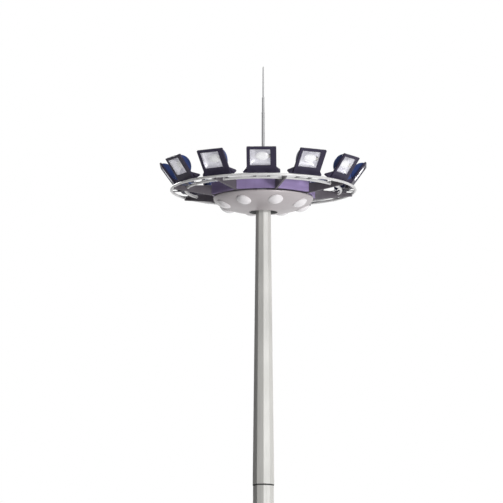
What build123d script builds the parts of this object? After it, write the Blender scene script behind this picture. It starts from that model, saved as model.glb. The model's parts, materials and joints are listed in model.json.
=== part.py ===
# High mast floodlight tower with a lowering carriage.
# Millimetres. +Z is up, the origin is the centre of the underside of the base flange.
# The front of the tower looks along -Y. Directions round the mast are given in degrees from +X.
from build123d import *
import math
import os

# ---------------------------------------------------------------- driving dimensions
# mast: a ten-sided, tapering steel pole in four sleeved sections
mast_side_count = 10
mast_corner_angle = -17.2         # direction of one corner
mast_wall = 8.0
section_joint_heights = [3900.0, 9100.0, 14360.0]
sleeve_length = 550.0
sleeve_fit = 0.2
top_section_foot_width = 427.0    # across corners, at the highest sleeve joint
top_section_taper = 0.0247        # loss of width for each unit of height
lower_section_taper = 0.010
mast_head_height = 20.0           # top of the pole above the plane of the rings

# base flange
flange_radius = 420.0
flange_thickness = 36.0
bolt_circle_radius = 350.0
bolt_hole_radius = 20.0
gusset_height = 200.0
gusset_thickness = 14.0
gusset_edge_margin = 12.0
gusset_toe_height = 25.0

# access door near the foot
door_frame_width = 260.0
door_frame_height = 800.0
door_frame_bottom = 500.0
door_frame_border = 22.0
door_frame_proud = 26.0
door_frame_depth = 82.0
door_lap = 12.0
door_thickness = 5.0
door_face_number = 8              # which face of the pole carries the door

# lamp carriage: all its heights are measured from the plane of the rings
ring_height = 20000.0
outer_ring_radius = 1748.0
outer_ring_tube_radius = 25.0
ring_spacing = 272.0              # between the middles of the two ring tubes
inner_ring_tube_radius = 27.5
inner_ring_drop = 8.0
seat_gap = 0.3                    # gap left where a curved face is seated

arm_count = 8                     # also the number of sides of the drum
arm_angle = 14.0                  # direction of the first arm and of a corner of the drum
arm_width = 40.0
arm_wall = 5.0
arm_hub_top_height = 10.0         # at the collar; the root is at the corner of the drum
arm_root_top_height = 50.0
arm_root_bottom_height = -140.0
arm_tip_top_height = 15.0
arm_tip_bottom_height = -50.0

drum_corner_overhang = 76.0       # reach of the drum's corners past the rim of the bowl
drum_sheet = 4.0
drum_top_height = 100.0
drum_bottom_height = -122.0
drum_lip_width = 60.0

bowl_radius = 950.0
bowl_rim_gap = 32.0               # below the drum
bowl_depth = 287.0
bowl_sheet = 5.0
bowl_rim_width = 45.0
lens_angle = 17.0
lens_count = 8
lens_rim_inset = 160.0            # from the rim of the bowl in to the middle of a lens
lens_radius = 143.0
lens_bulge = 58.0
lens_sheet = 4.0
lens_skirt = 30.0

collar_bore_radius = 268.0
collar_wall = 6.0
collar_flange_width = 66.0
collar_flange_thickness = 10.0
roller_count = 5
roller_radius = 40.0
roller_length = 56.0
roller_reach = 258.0              # distance from the mast's axis to the inside of a roller
roller_height = -300.0
roller_window_margin = 8.0
roller_cheek_thickness = 8.0
roller_cheek_height = 70.0
roller_pin_radius = 8.0
roller_pin_fit = 0.3

# mast head
head_plate_radius = 250.0
head_plate_thickness = 20.0
head_plate_bore_radius = 112.0
pulley_count = 3
pulley_first_angle = 60.0
pulley_radius = 107.0
pulley_thickness = 34.0
pulley_groove_radius = 100.0
pulley_height = 152.0
rope_radius = 6.0
rope_drop_radius = 300.0          # distance of the hanging ropes from the mast's axis
rope_tail_length = 120.0
socket_radius = 14.0
socket_length = 60.0
pulley_cheek_thickness = 8.0
pulley_cheek_gap = 3.0
pulley_cheek_margin = 22.0
pulley_pin_radius = 12.0
cap_radius = 345.0
cap_skirt_bottom_height = 70.0
cap_shoulder_height = 120.0
cap_top_height = 330.0
cap_sheet = 4.0
cap_post_radius = 45.0
cap_leg_reach = 180.0
cap_leg_width = 40.0
cap_leg_thickness = 12.0

# lightning rod: heights where its stages meet, and the radii of each at its foot and its top
rod_joint_heights = [1500.0, 1790.0]
rod_stage_foot_radii = [32.0, 25.0, 15.0]
rod_stage_top_radii = [29.0, 23.0, 12.5]
rod_tip_height = 2400.0
rod_point_length = 40.0
rod_foot_radius = 62.0
rod_foot_thickness = 14.0

# floodlights
lamp_count = 12
lamp_first_angle = -1.2           # direction in which the first lamp faces
lamp_tilt = 36.0                  # lean of the face out over the rings
lamp_pivot_inset = 155.0          # from the middle of the outer ring in to the pins
lamp_pivot_height = 77.5
lamp_face_from_pivot = 70.0
lamp_frame_lift = 5.0             # bottom of the frame above the pivot, along the face
lamp_frame_width = 560.0
lamp_frame_height = 537.0
lamp_frame_depth = 35.0
lamp_skin = 6.0
lamp_window_width = 390.0
lamp_window_height = 332.0
lamp_window_top_margin = 50.0
lamp_window_shift = -25.0
lamp_glass_thickness = 5.0
lamp_glass_lap = 6.0
lamp_back_width = 480.0
lamp_back_radius = 215.0
lamp_back_depth = 158.0
lamp_back_sheet = 5.0
lamp_foot_top_half_width = 255.0
lamp_foot_half_width = 350.0
lamp_foot_rear = -58.0
lamp_foot_neck = 22.0
lamp_foot_bottom = -10.0
lamp_foot_shoulder = 20.0
lamp_foot_chamfer = 12.0
lamp_pin_radius = 8.0
lamp_pin_fit = 0.3

bracket_ear_place = 100.0
bracket_ear_thickness = 8.0
bracket_ear_half_width = 18.0
bracket_ear_root_half_width = 40.0
bracket_strap_width = 60.0
bracket_strap_thickness = 8.0
bracket_clearance = 5.0

# ---------------------------------------------------------------- derived values
mast_sector = 360.0 / mast_side_count
mast_face_angle = mast_corner_angle + mast_sector / 2
mast_corner_share = 1 / math.cos(math.pi / mast_side_count)   # corner radius over flat radius
drum_corner_share = 1 / math.cos(math.pi / arm_count)
wall_across_corners = 2 * mast_wall * mast_corner_share
fit_across_corners = 2 * sleeve_fit * mast_corner_share
mast_top_height = ring_height + mast_head_height
inner_ring_radius = outer_ring_radius - ring_spacing
lamp_pivot_radius = outer_ring_radius - lamp_pivot_inset
drum_corner_radius = bowl_radius + drum_corner_overhang
bowl_rim_height = drum_bottom_height - bowl_rim_gap
lens_place_radius = bowl_radius - lens_rim_inset
collar_outer_radius = collar_bore_radius + collar_wall
collar_flange_radius = collar_bore_radius + collar_flange_width
roller_place = roller_reach + roller_radius
pulley_place = rope_drop_radius - pulley_groove_radius
far = 3000.0                      # longer than any piece that it cuts


def raised(shape):
    """Move a shape of the carriage or head from the plane of the rings to its real height."""
    return Pos(0, 0, ring_height) * shape


def around(shape, count, first_angle=0.0):
    """Copies of a shape, evenly spaced round the mast."""
    return [Rot(0, 0, first_angle + 360.0 / count * number) * shape for number in range(count)]


def solids_of(shapes):
    """The separate solids of one or several shapes."""
    pieces = shapes if isinstance(shapes, list) else [shapes]
    return [solid for piece in pieces for solid in piece.solids()]


def save(name, shapes):
    """Write one node as its own STEP file."""
    found = solids_of(shapes)
    node = found[0] if len(found) == 1 else Compound(children=found)
    node.label = name
    export_step(node, os.path.join("parts", name + ".step"))


def flat_polygon(corner_radius, sides, turn, height):
    """A flat regular polygon lying at a height, with its first corner turned from +X."""
    return Pos(0, 0, height) * Rot(0, 0, turn) * RegularPolygon(corner_radius, sides)


def mast_block(stations):
    """A solid spindle, with the mast's sides, through (height, width across corners) stations."""
    outlines = []
    for height, width in stations:
        polygon = flat_polygon(width / 2, mast_side_count, mast_corner_angle, height)
        outlines.append(polygon.faces()[0].outer_wire())
    return Solid.make_loft(outlines, ruled=True)


def disc(radius, thickness, bottom):
    """A round plate standing on a height."""
    return Pos(0, 0, bottom + thickness / 2) * Cylinder(radius, thickness)


def ring_plate(radius, bore, thickness, bottom):
    """A round plate with a round hole."""
    return disc(radius, thickness, bottom) - disc(bore, thickness + 2, bottom - 1)


def side_plate(points, thickness):
    """A plate whose outline is given as (distance out, height), centred on the plane y = 0."""
    outline = Plane.XZ * make_face(Polyline(*points, close=True))
    return extrude(outline, thickness / 2, both=True)


def turned(points):
    """A closed profile, given as (radius, height), turned once round the axis."""
    return revolve(Plane.XZ * make_face(Polyline(*points, close=True)), Axis.Z)


def tangent_rod(radius, length, distance, height):
    """A round bar lying across the outward direction."""
    return Pos(distance, 0, height) * Rot(90, 0, 0) * Cylinder(radius, length)


# ---------------------------------------------------------------- mast
def section_stations():
    """For each section from the foot up: (height, width) at its foot, its sleeve joint and its top."""
    bottoms = [flange_thickness] + section_joint_heights
    stations = []
    foot_width = top_section_foot_width
    top_width = foot_width - (mast_top_height - bottoms[-1]) * top_section_taper
    stations.append([(bottoms[-1], foot_width), (mast_top_height, top_width)])
    taper_above = top_section_taper
    for upper, bottom in zip(reversed(bottoms[1:]), reversed(bottoms[:-1])):
        neck_width = foot_width - wall_across_corners - fit_across_corners
        tail_width = neck_width - sleeve_length * taper_above
        foot_width = neck_width + (upper - bottom) * lower_section_taper
        stations.append([(bottom, foot_width), (upper, neck_width), (upper + sleeve_length, tail_width)])
        taper_above = lower_section_taper
    return list(reversed(stations))


def mast_width(height):
    """Width of the lowest section across its corners at a height."""
    (bottom, foot_width), (upper, neck_width) = section_stations()[0][:2]
    return foot_width + (neck_width - foot_width) * (height - bottom) / (upper - bottom)


def mast_section(stations):
    """One hollow section of the pole."""
    bore = [(height, width - wall_across_corners) for height, width in stations]
    return mast_block(stations) - mast_block(bore)


def base_flange():
    """Round base plate with its anchor bolt holes."""
    hole = Cylinder(bolt_hole_radius, 2 * flange_thickness)
    hole = Pos(bolt_circle_radius, 0, flange_thickness / 2) * hole
    plate = disc(flange_radius, flange_thickness, 0)
    for cut in around(hole, mast_side_count, mast_face_angle):
        plate -= cut
    return plate


def base_gussets():
    """Stiffening ribs between the base plate and the corners of the pole."""
    top = flange_thickness + gusset_height
    toe = flange_radius - gusset_edge_margin
    outline = [
        (0, flange_thickness),
        (toe, flange_thickness),
        (toe, flange_thickness + gusset_toe_height),
        (mast_width(top) / 2 + gusset_toe_height, top),
        (0, top),
    ]
    core = mast_block(section_stations()[0])
    rib = side_plate(outline, gusset_thickness)
    return [one - core for one in around(rib, mast_side_count, mast_corner_angle)]


def door_place():
    """The axes of the door: x outward, y across, with the origin on the mast's axis at half height."""
    turn = mast_face_angle + mast_sector * door_face_number
    return Rot(0, 0, turn) * Pos(0, 0, door_frame_bottom + door_frame_height / 2)


def door_front():
    """Distance of the front of the door frame from the axis."""
    return mast_width(door_frame_bottom) / 2 / mast_corner_share + door_frame_proud


def door_opening_block(width, height, reach, depth):
    """A box that ends at a distance in front of the axis."""
    return door_place() * Pos(reach - depth / 2, 0, 0) * Box(depth, width, height)


def access_door_frame():
    """Frame welded through the wall of the pole."""
    outer = door_opening_block(door_frame_width, door_frame_height, door_front(), door_frame_depth)
    clear_width = door_frame_width - 2 * door_frame_border
    clear_height = door_frame_height - 2 * door_frame_border
    return outer - door_opening_block(clear_width, clear_height, door_front() + 1, door_frame_depth + 2)


def access_door():
    """Door plate lying on the front of its frame."""
    width = door_frame_width - 2 * door_frame_border + 2 * door_lap
    height = door_frame_height - 2 * door_frame_border + 2 * door_lap
    return door_opening_block(width, height, door_front() + door_thickness, door_thickness)


def build_mast():
    save("base_flange", base_flange())
    save("base_gussets", base_gussets())
    door_cut = door_opening_block(door_frame_width, door_frame_height, door_front(), door_frame_depth)
    for number, stations in enumerate(section_stations()):
        section = mast_section(stations)
        if number == 0:
            section -= door_cut
        save(f"mast_section_{number + 1}", section)
    save("access_door_frame", access_door_frame())
    save("access_door", access_door())


# ---------------------------------------------------------------- mast head
def head_plate():
    """Plate on top of the pole, with the hole that the ropes go down through."""
    return ring_plate(head_plate_radius, head_plate_bore_radius, head_plate_thickness, mast_head_height)


def pulley():
    """One grooved rope pulley, standing in the plane y = 0."""
    half = pulley_thickness / 2
    groove_half = rope_radius + seat_gap
    groove_bottom = pulley_groove_radius - rope_radius
    profile = [
        (pulley_pin_radius + seat_gap, -half),
        (pulley_radius, -half),
        (pulley_radius, -groove_half),
        (groove_bottom, -groove_half),
        (groove_bottom, groove_half),
        (pulley_radius, groove_half),
        (pulley_radius, half),
        (pulley_pin_radius + seat_gap, half),
    ]
    return Pos(pulley_place, 0, pulley_height) * Rot(90, 0, 0) * turned(profile)


def pulley_cheeks():
    """Two cheek plates and the pin of one pulley."""
    foot = mast_head_height + head_plate_thickness
    inner = pulley_place - pulley_cheek_margin
    outer = pulley_place + pulley_cheek_margin
    outline = [
        (head_plate_bore_radius, foot),
        (head_plate_radius, foot),
        (outer, pulley_height + pulley_cheek_margin),
        (inner, pulley_height + pulley_cheek_margin),
    ]
    offset_y = pulley_thickness / 2 + pulley_cheek_gap + pulley_cheek_thickness / 2
    cheek = side_plate(outline, pulley_cheek_thickness)
    pin_length = 2 * offset_y + pulley_cheek_thickness
    pin = tangent_rod(pulley_pin_radius, pin_length, pulley_place, pulley_height)
    return Pos(0, offset_y, 0) * cheek + Pos(0, -offset_y, 0) * cheek + pin


def rope_over_pulley():
    """The rope from the carriage side over its pulley and down into the pole."""
    reach = pulley_groove_radius + seat_gap
    arc = Pos(pulley_place, 0, pulley_height) * Rot(90, 0, 0) * Torus(reach, rope_radius)
    arc = split(arc, Plane((0, 0, pulley_height)), Keep.TOP)
    inner = Pos(pulley_place - reach, 0, pulley_height - rope_tail_length / 2)
    return arc + inner * Cylinder(rope_radius, rope_tail_length)


def quarter_oval(radius, rise, start):
    """A flat quarter of an oval about the origin, from a start angle a quarter turn on."""
    turn_end = math.radians(start + 90)
    first = (radius * round(math.cos(math.radians(start))), rise * round(math.sin(math.radians(start))))
    last = (radius * round(math.cos(turn_end)), rise * round(math.sin(turn_end)))
    arc = EllipticalCenterArc((0, 0), radius, rise, start, arc_size=90)
    return Plane.XZ * make_face([arc, Line(last, (0, 0)), Line((0, 0), first)])


def rain_cap():
    """Domed cover over the pulleys, carried by a post and three feet on the head plate."""
    rise = cap_top_height - cap_shoulder_height
    section = quarter_oval(cap_radius, rise, 0)
    section -= quarter_oval(cap_radius - cap_sheet, rise - cap_sheet, 0)
    cover = Pos(0, 0, cap_shoulder_height) * revolve(section, Axis.Z)
    skirt = cap_shoulder_height - cap_skirt_bottom_height
    cover += ring_plate(cap_radius, cap_radius - cap_sheet, skirt, cap_skirt_bottom_height)
    foot = mast_head_height + head_plate_thickness
    cover += disc(cap_post_radius, cap_top_height - cap_sheet / 2 - foot, foot)
    leg = Box(cap_leg_reach, cap_leg_width, cap_leg_thickness)
    leg = Pos(cap_leg_reach / 2, 0, foot + cap_leg_thickness / 2) * leg
    for one in around(leg, pulley_count, pulley_first_angle + 180 / pulley_count):
        cover += one
    return cover


def lightning_rod():
    """Stepped rod with a pointed tip, on a round foot."""
    shoulder = cap_top_height + rod_foot_thickness
    heights = [shoulder] + rod_joint_heights + [rod_tip_height - rod_point_length]
    profile = [(0, cap_top_height), (rod_foot_radius, cap_top_height), (rod_foot_radius, shoulder)]
    for number, (foot, top) in enumerate(zip(heights[:-1], heights[1:])):
        profile.append((rod_stage_foot_radii[number], foot))
        profile.append((rod_stage_top_radii[number], top))
    profile.append((0, rod_tip_height))
    return turned(profile)


def build_head():
    save("head_plate", raised(head_plate()))
    for name, shape in (
        ("head_pulleys", pulley()),
        ("head_pulley_cheeks", pulley_cheeks()),
        ("head_ropes", rope_over_pulley()),
    ):
        save(name, [raised(one) for one in around(shape, pulley_count, pulley_first_angle)])
    save("rain_cap", raised(rain_cap()))
    save("lightning_rod", raised(lightning_rod()))


# ---------------------------------------------------------------- carriage
def outer_ring(extra=0.0):
    """Outer ring tube. extra makes the copy that cuts its neighbours."""
    return Torus(outer_ring_radius, outer_ring_tube_radius + extra)


def inner_ring_tube(extra=0.0, turn=360.0):
    """Inner ring tube, or a part of it. extra makes the copy that cuts its neighbours."""
    section = Pos(inner_ring_radius, -inner_ring_drop) * Circle(inner_ring_tube_radius + extra)
    return revolve(Plane.XZ * section, Axis.Z, turn)


def arm_outline():
    """Side outline of one arm from the collar to the outer ring."""
    return [
        (0, arm_root_bottom_height),
        (drum_corner_radius, arm_root_bottom_height),
        (outer_ring_radius, arm_tip_bottom_height),
        (outer_ring_radius, arm_tip_top_height),
        (drum_corner_radius, arm_root_top_height),
        (collar_flange_radius, arm_hub_top_height),
        (0, arm_hub_top_height),
    ]


def radial_arms():
    """Tapered box arms, open at the collar."""
    outline = make_face(Polyline(*arm_outline(), close=True))
    hollow_outline = offset(outline, -arm_wall, kind=Kind.INTERSECTION)
    hollow = extrude(Plane.XZ * hollow_outline, arm_width / 2 - arm_wall, both=True)
    hollow_end = outer_ring_radius - outer_ring_tube_radius - arm_wall
    hollow = hollow & Pos(hollow_end - far / 2, 0, 0) * Box(far, far, far)
    block = extrude(Plane.XZ * outline, arm_width / 2, both=True)
    block -= hollow
    block -= Cylinder(collar_outer_radius + seat_gap, far)
    block -= outer_ring(seat_gap)
    return around(block, arm_count, arm_angle)


def arm_blocks():
    """Solid copies of the arms, which cut what the arms pass through."""
    return around(side_plate(arm_outline(), arm_width), arm_count, arm_angle)


def inner_ring():
    """Arcs of tube, each butted between the sides of two arms."""
    arm_sector = 360.0 / arm_count
    gap = Pos(inner_ring_radius, 0, 0) * Box(4 * inner_ring_tube_radius, arm_width, far)
    arc = inner_ring_tube(turn=arm_sector) - gap - Rot(0, 0, arm_sector) * gap
    return around(arc, arm_count, arm_angle)


def drum_prism(corner_radius, bottom, top):
    """An upright prism whose corners lie on the arms."""
    return extrude(flat_polygon(corner_radius, arm_count, arm_angle, bottom), top - bottom)


def octagonal_drum():
    """Sheet drum between the arms, with an inward lip at its lower edge."""
    inside = drum_corner_radius - drum_sheet * drum_corner_share
    lip_radius = drum_corner_radius / drum_corner_share - drum_lip_width
    drum = drum_prism(drum_corner_radius, drum_bottom_height, drum_top_height)
    drum -= drum_prism(inside, drum_bottom_height + drum_sheet, drum_top_height + 1)
    drum -= disc(lip_radius, 2 * drum_sheet, drum_bottom_height - drum_sheet / 2)
    for block in arm_blocks():
        drum -= block
    return drum


def bowl_half(radius, depth):
    """The lower half of a flattened ball hanging from the level of the bowl's rim."""
    return Pos(0, 0, bowl_rim_height) * revolve(quarter_oval(radius, depth, 270), Axis.Z)


def lens_lie():
    """Place of the first lens: its middle is on the bowl and its own +Z is the bowl's outward normal."""
    share = lens_place_radius / bowl_radius
    fall = math.sqrt(1 - share ** 2)
    height = bowl_rim_height - bowl_depth * fall
    slope = math.degrees(math.atan2(lens_place_radius / bowl_radius ** 2, fall / bowl_depth))
    return Pos(lens_place_radius, 0, height) * Rot(0, 180 - slope, 0)


def lens_dome(radius, bulge):
    """A shallow cap of a ball, standing on its flat side."""
    ball_radius = (radius ** 2 + bulge ** 2) / (2 * bulge)
    ball = Pos(0, 0, bulge - ball_radius) * Sphere(ball_radius)
    return ball & Pos(0, 0, bulge / 2) * Box(4 * radius, 4 * radius, bulge)


def lens():
    """One bulging lens with its skirt, which passes through the bowl."""
    bore = lens_radius - lens_sheet
    body = lens_dome(lens_radius, lens_bulge) + disc(lens_radius, lens_skirt, -lens_skirt)
    hollow = lens_dome(bore, lens_bulge - lens_sheet) + disc(bore, lens_skirt, -lens_skirt)
    return lens_lie() * (body - hollow)


def bowl():
    """Spun bowl with a flat rim, a bottom hole for the collar and a hole for each lens."""
    shell = bowl_half(bowl_radius, bowl_depth)
    shell -= bowl_half(bowl_radius - bowl_sheet, bowl_depth - bowl_sheet)
    rim_bore = bowl_radius - bowl_rim_width
    shell += ring_plate(bowl_radius - 1, rim_bore, bowl_sheet, bowl_rim_height - bowl_sheet)
    shell -= Cylinder(collar_outer_radius + seat_gap, far)
    hole = lens_lie() * Cylinder(lens_radius + seat_gap, 4 * lens_skirt)
    for cut in around(hole, lens_count, lens_angle):
        shell -= cut
    return shell


def collar_foot():
    """Height of the lower end of the collar, level with the mouth of the bowl."""
    return bowl_rim_height - bowl_depth * math.sqrt(1 - (collar_outer_radius / bowl_radius) ** 2)


def guide_collar():
    """Sleeve round the mast with a top flange, and windows for the rollers."""
    top = arm_hub_top_height
    foot = collar_foot()
    collar = ring_plate(collar_outer_radius, collar_bore_radius, top - foot, foot)
    collar += ring_plate(collar_flange_radius, collar_bore_radius, collar_flange_thickness, top)
    window_width = roller_length + 2 * roller_window_margin
    window_height = 2 * roller_radius + 2 * roller_window_margin
    window = Box(2 * roller_radius, window_width, window_height)
    window = Pos(collar_outer_radius, 0, roller_height) * window
    for cut in around(window, roller_count, mast_face_angle):
        collar -= cut
    return collar


def roller():
    """One rubber roller, lying across the outward direction."""
    wheel = tangent_rod(roller_radius, roller_length, roller_place, roller_height)
    return wheel - tangent_rod(roller_pin_radius + roller_pin_fit, far, roller_place, roller_height)


def roller_carrier():
    """Two cheeks and the pin of one roller, outside the collar."""
    offset_y = roller_length / 2 + roller_window_margin + roller_cheek_thickness / 2
    depth = roller_place + roller_radius - collar_bore_radius
    cheek = Box(depth, roller_cheek_thickness, roller_cheek_height)
    cheek = Pos(collar_bore_radius + depth / 2, 0, roller_height) * cheek
    pin_length = 2 * offset_y + roller_cheek_thickness
    pin = tangent_rod(roller_pin_radius, pin_length, roller_place, roller_height)
    carrier = Pos(0, offset_y, 0) * cheek + Pos(0, -offset_y, 0) * cheek + pin
    return carrier - Cylinder(collar_outer_radius, far)


def rope_end():
    """Rope socket on the collar flange, with the rope up to its pulley."""
    foot = arm_hub_top_height + collar_flange_thickness
    socket = Pos(rope_drop_radius, 0, foot + socket_length / 2) * Cylinder(socket_radius, socket_length)
    length = pulley_height - foot - seat_gap
    return socket + Pos(rope_drop_radius, 0, foot + length / 2) * Cylinder(rope_radius, length)


def bracket_side():
    """One strap between the rings with the ear that holds a floodlight's pin."""
    middle = bracket_ear_place + bracket_strap_width / 2
    span = outer_ring_radius - inner_ring_radius
    strap = Box(span, bracket_strap_width, bracket_strap_thickness)
    strap = Pos(inner_ring_radius + span / 2, middle, 0) * strap
    strap = strap - outer_ring(seat_gap) - inner_ring_tube(seat_gap)
    top = bracket_strap_thickness / 2
    root = bracket_ear_root_half_width
    tip = bracket_ear_half_width
    outline = [
        (lamp_pivot_radius - root, top),
        (lamp_pivot_radius + root, top),
        (lamp_pivot_radius + root, 2 * top),
        (lamp_pivot_radius + tip, lamp_pivot_height - tip),
        (lamp_pivot_radius + tip, lamp_pivot_height),
        (lamp_pivot_radius - tip, lamp_pivot_height),
        (lamp_pivot_radius - tip, lamp_pivot_height - tip),
        (lamp_pivot_radius - root, 2 * top),
    ]
    ear = side_plate(outline, bracket_ear_thickness)
    ear += tangent_rod(tip, bracket_ear_thickness, lamp_pivot_radius, lamp_pivot_height)
    ear -= tangent_rod(lamp_pin_radius + lamp_pin_fit, far, lamp_pivot_radius, lamp_pivot_height)
    return strap + Pos(0, bracket_ear_place + bracket_ear_thickness / 2, 0) * ear


def floodlight_brackets():
    """A pair of straps and ears under each floodlight."""
    side = bracket_side()
    sides = [side, mirror(side, Plane.XZ)]
    return [turned for each in sides for turned in around(each, lamp_count, lamp_first_angle)]


def build_carriage():
    save("outer_ring", raised(outer_ring()))
    save("inner_ring", [raised(arc) for arc in inner_ring()])
    save("radial_arms", [raised(arm) for arm in radial_arms()])
    save("octagonal_drum", raised(octagonal_drum()))
    save("bowl", raised(bowl()))
    save("bowl_lenses", [raised(one) for one in around(lens(), lens_count, lens_angle)])
    save("guide_collar", raised(guide_collar()))
    for name, shape, count, first_angle in (
        ("guide_rollers", roller(), roller_count, mast_face_angle),
        ("roller_carriers", roller_carrier(), roller_count, mast_face_angle),
        ("hoist_rope_ends", rope_end(), pulley_count, pulley_first_angle),
    ):
        save(name, [raised(one) for one in around(shape, count, first_angle)])
    save("floodlight_brackets", [raised(one) for one in floodlight_brackets()])


# ---------------------------------------------------------------- floodlights
# Each is made upright with its pin on the y axis: x is the outward normal of the face, z runs up it.
frame_top = lamp_frame_lift + lamp_frame_height
frame_back = lamp_face_from_pivot - lamp_frame_depth
skin_back = lamp_face_from_pivot - lamp_skin
back_centre = lamp_face_from_pivot - lamp_back_depth + lamp_back_radius
back_middle = frame_top - lamp_skin - math.sqrt(lamp_back_radius ** 2 - (back_centre - skin_back) ** 2)
foot_top = back_middle - math.sqrt(lamp_back_radius ** 2 - (back_centre - frame_back) ** 2)


def face_block(width, height, middle, shift, front, depth):
    """A box with its front on a plane in front of the pin."""
    return Pos(front - depth / 2, shift, middle) * Box(depth, width, height)


def lamp_window_middle():
    """Height of the middle of the window above the pin."""
    return frame_top - lamp_window_top_margin - lamp_window_height / 2


def lamp_frame():
    """Front plate with its window and a rim that runs back."""
    middle = lamp_frame_lift + lamp_frame_height / 2
    inner_width = lamp_frame_width - 2 * lamp_skin
    inner_height = lamp_frame_height - 2 * lamp_skin
    front = lamp_face_from_pivot
    frame = face_block(lamp_frame_width, lamp_frame_height, middle, 0, front, lamp_frame_depth)
    frame -= face_block(inner_width, inner_height, middle, 0, skin_back, lamp_frame_depth)
    width = lamp_window_width
    height = lamp_window_height
    middle = lamp_window_middle()
    return frame - face_block(width, height, middle, lamp_window_shift, front + 1, lamp_frame_depth)


def back_drum(radius, width, front):
    """Part of a barrel lying across the lamp, behind a plane."""
    barrel = Pos(back_centre, 0, back_middle) * Rot(90, 0, 0) * Cylinder(radius, width)
    keep = face_block(width, 4 * radius, back_middle, 0, front, lamp_back_depth)
    return barrel & keep


def lamp_back():
    """Rounded back cover, open to the window."""
    inner_width = lamp_back_width - 2 * lamp_back_sheet
    shell = back_drum(lamp_back_radius, lamp_back_width, skin_back)
    return shell - back_drum(lamp_back_radius - lamp_back_sheet, inner_width, skin_back)


def lamp_foot():
    """Flared control gear box under the back cover, slotted for the ears of its bracket."""
    outline = [
        (frame_back + lamp_skin, lamp_foot_bottom),
        (frame_back + lamp_skin, foot_top),
        (lamp_foot_neck, foot_top),
        (lamp_foot_rear, lamp_foot_shoulder),
        (lamp_foot_rear, lamp_foot_bottom + lamp_foot_chamfer),
        (lamp_foot_rear + lamp_foot_chamfer, lamp_foot_bottom),
    ]
    flare = [
        (-lamp_foot_half_width, lamp_foot_bottom),
        (lamp_foot_half_width, lamp_foot_bottom),
        (lamp_foot_half_width, lamp_foot_shoulder),
        (lamp_foot_top_half_width, foot_top),
        (-lamp_foot_top_half_width, foot_top),
        (-lamp_foot_half_width, lamp_foot_shoulder),
    ]
    front_outline = Plane.YZ * make_face(Polyline(*flare, close=True))
    foot = side_plate(outline, 2 * lamp_foot_half_width)
    foot = foot & extrude(front_outline, 2 * lamp_frame_width, both=True)
    slot_width = bracket_ear_thickness + 2 * bracket_clearance
    slot_top = bracket_ear_half_width + bracket_clearance + 1
    slot = Pos(0, 0, slot_top / 2) * Box(far, slot_width, slot_top)
    slot += Pos(0, 0, lamp_foot_bottom) * Box(far, slot_width, -2 * lamp_foot_bottom)
    place = bracket_ear_place + bracket_ear_thickness / 2
    foot = foot - Pos(0, place, 0) * slot - Pos(0, -place, 0) * slot
    return foot + tangent_rod(lamp_pin_radius, 2 * place + slot_width, 0, 0)


def lamp_glass():
    """Pane behind the window."""
    width = lamp_window_width + 2 * lamp_glass_lap
    height = lamp_window_height + 2 * lamp_glass_lap
    middle = lamp_window_middle()
    return face_block(width, height, middle, lamp_window_shift, skin_back, lamp_glass_thickness)


def lamp_place(number):
    """Lean a lamp out, put its pin on its bracket and turn it to its place round the mast."""
    turn = lamp_first_angle + 360.0 / lamp_count * number
    pin = Pos(lamp_pivot_radius, 0, ring_height + lamp_pivot_height)
    return Rot(0, 0, turn) * pin * Rot(0, lamp_tilt, 0)


def build_floodlights():
    housing = lamp_frame() + lamp_back() + lamp_foot()
    glass = lamp_glass()
    for number in range(lamp_count):
        place = lamp_place(number)
        save(f"floodlight_{number + 1:02d}_housing", place * housing)
        save(f"floodlight_{number + 1:02d}_glass", place * glass)


os.makedirs("parts", exist_ok=True)
build_mast()
build_head()
build_carriage()
build_floodlights()
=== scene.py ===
import json
import math
import bmesh
import bpy
import numpy as np
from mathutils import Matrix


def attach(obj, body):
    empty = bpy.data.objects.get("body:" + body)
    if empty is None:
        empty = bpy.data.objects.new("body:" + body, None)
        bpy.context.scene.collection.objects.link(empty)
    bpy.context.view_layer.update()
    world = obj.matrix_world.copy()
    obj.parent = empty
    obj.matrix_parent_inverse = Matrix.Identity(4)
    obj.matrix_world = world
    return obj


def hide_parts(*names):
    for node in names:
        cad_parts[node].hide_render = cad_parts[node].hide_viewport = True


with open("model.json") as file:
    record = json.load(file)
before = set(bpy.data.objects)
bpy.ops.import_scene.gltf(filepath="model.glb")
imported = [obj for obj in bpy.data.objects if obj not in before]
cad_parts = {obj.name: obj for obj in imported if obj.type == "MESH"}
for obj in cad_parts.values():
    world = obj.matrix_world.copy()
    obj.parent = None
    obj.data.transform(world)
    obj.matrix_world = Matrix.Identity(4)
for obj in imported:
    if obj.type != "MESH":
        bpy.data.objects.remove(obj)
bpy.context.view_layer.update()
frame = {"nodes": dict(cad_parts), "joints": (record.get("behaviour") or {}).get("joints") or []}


def screenColour(red, green, blue):  # a screen colour of 0 to 255 as the linear colour of a shader
    values = np.array([red, green, blue]) / 255
    linear = np.where(values <= 0.04045, values / 12.92, ((values + 0.055) / 1.055) ** 2.4)
    return (*linear.tolist(), 1.0)


def shift(x=0.0, y=0.0, z=0.0):
    place = np.eye(4)
    place[:3, 3] = x, y, z
    return place


def spin(axis, degrees):  # turn about x, y or z by one angle or by a whole array of angles
    angles = np.radians(np.atleast_1d(degrees))
    first, second = {"x": (1, 2), "y": (2, 0), "z": (0, 1)}[axis]
    places = np.tile(np.eye(4), (len(angles), 1, 1))
    places[:, first, first] = places[:, second, second] = np.cos(angles)
    places[:, second, first] = np.sin(angles)
    places[:, first, second] = -np.sin(angles)
    return places if np.ndim(degrees) else places[0]


def around(count, first=0.0):  # equal turns about the mast
    return spin("z", first + np.arange(count) * 360 / count)


def arcOf(turn, reach, rise=None, x=0.0, y=0.0):
    # flat arc (x + reach cos t, y + rise sin t), which is a circle's when no rise is given
    return np.column_stack([x + reach * np.cos(turn), y + (reach if rise is None else rise) * np.sin(turn)])


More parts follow.
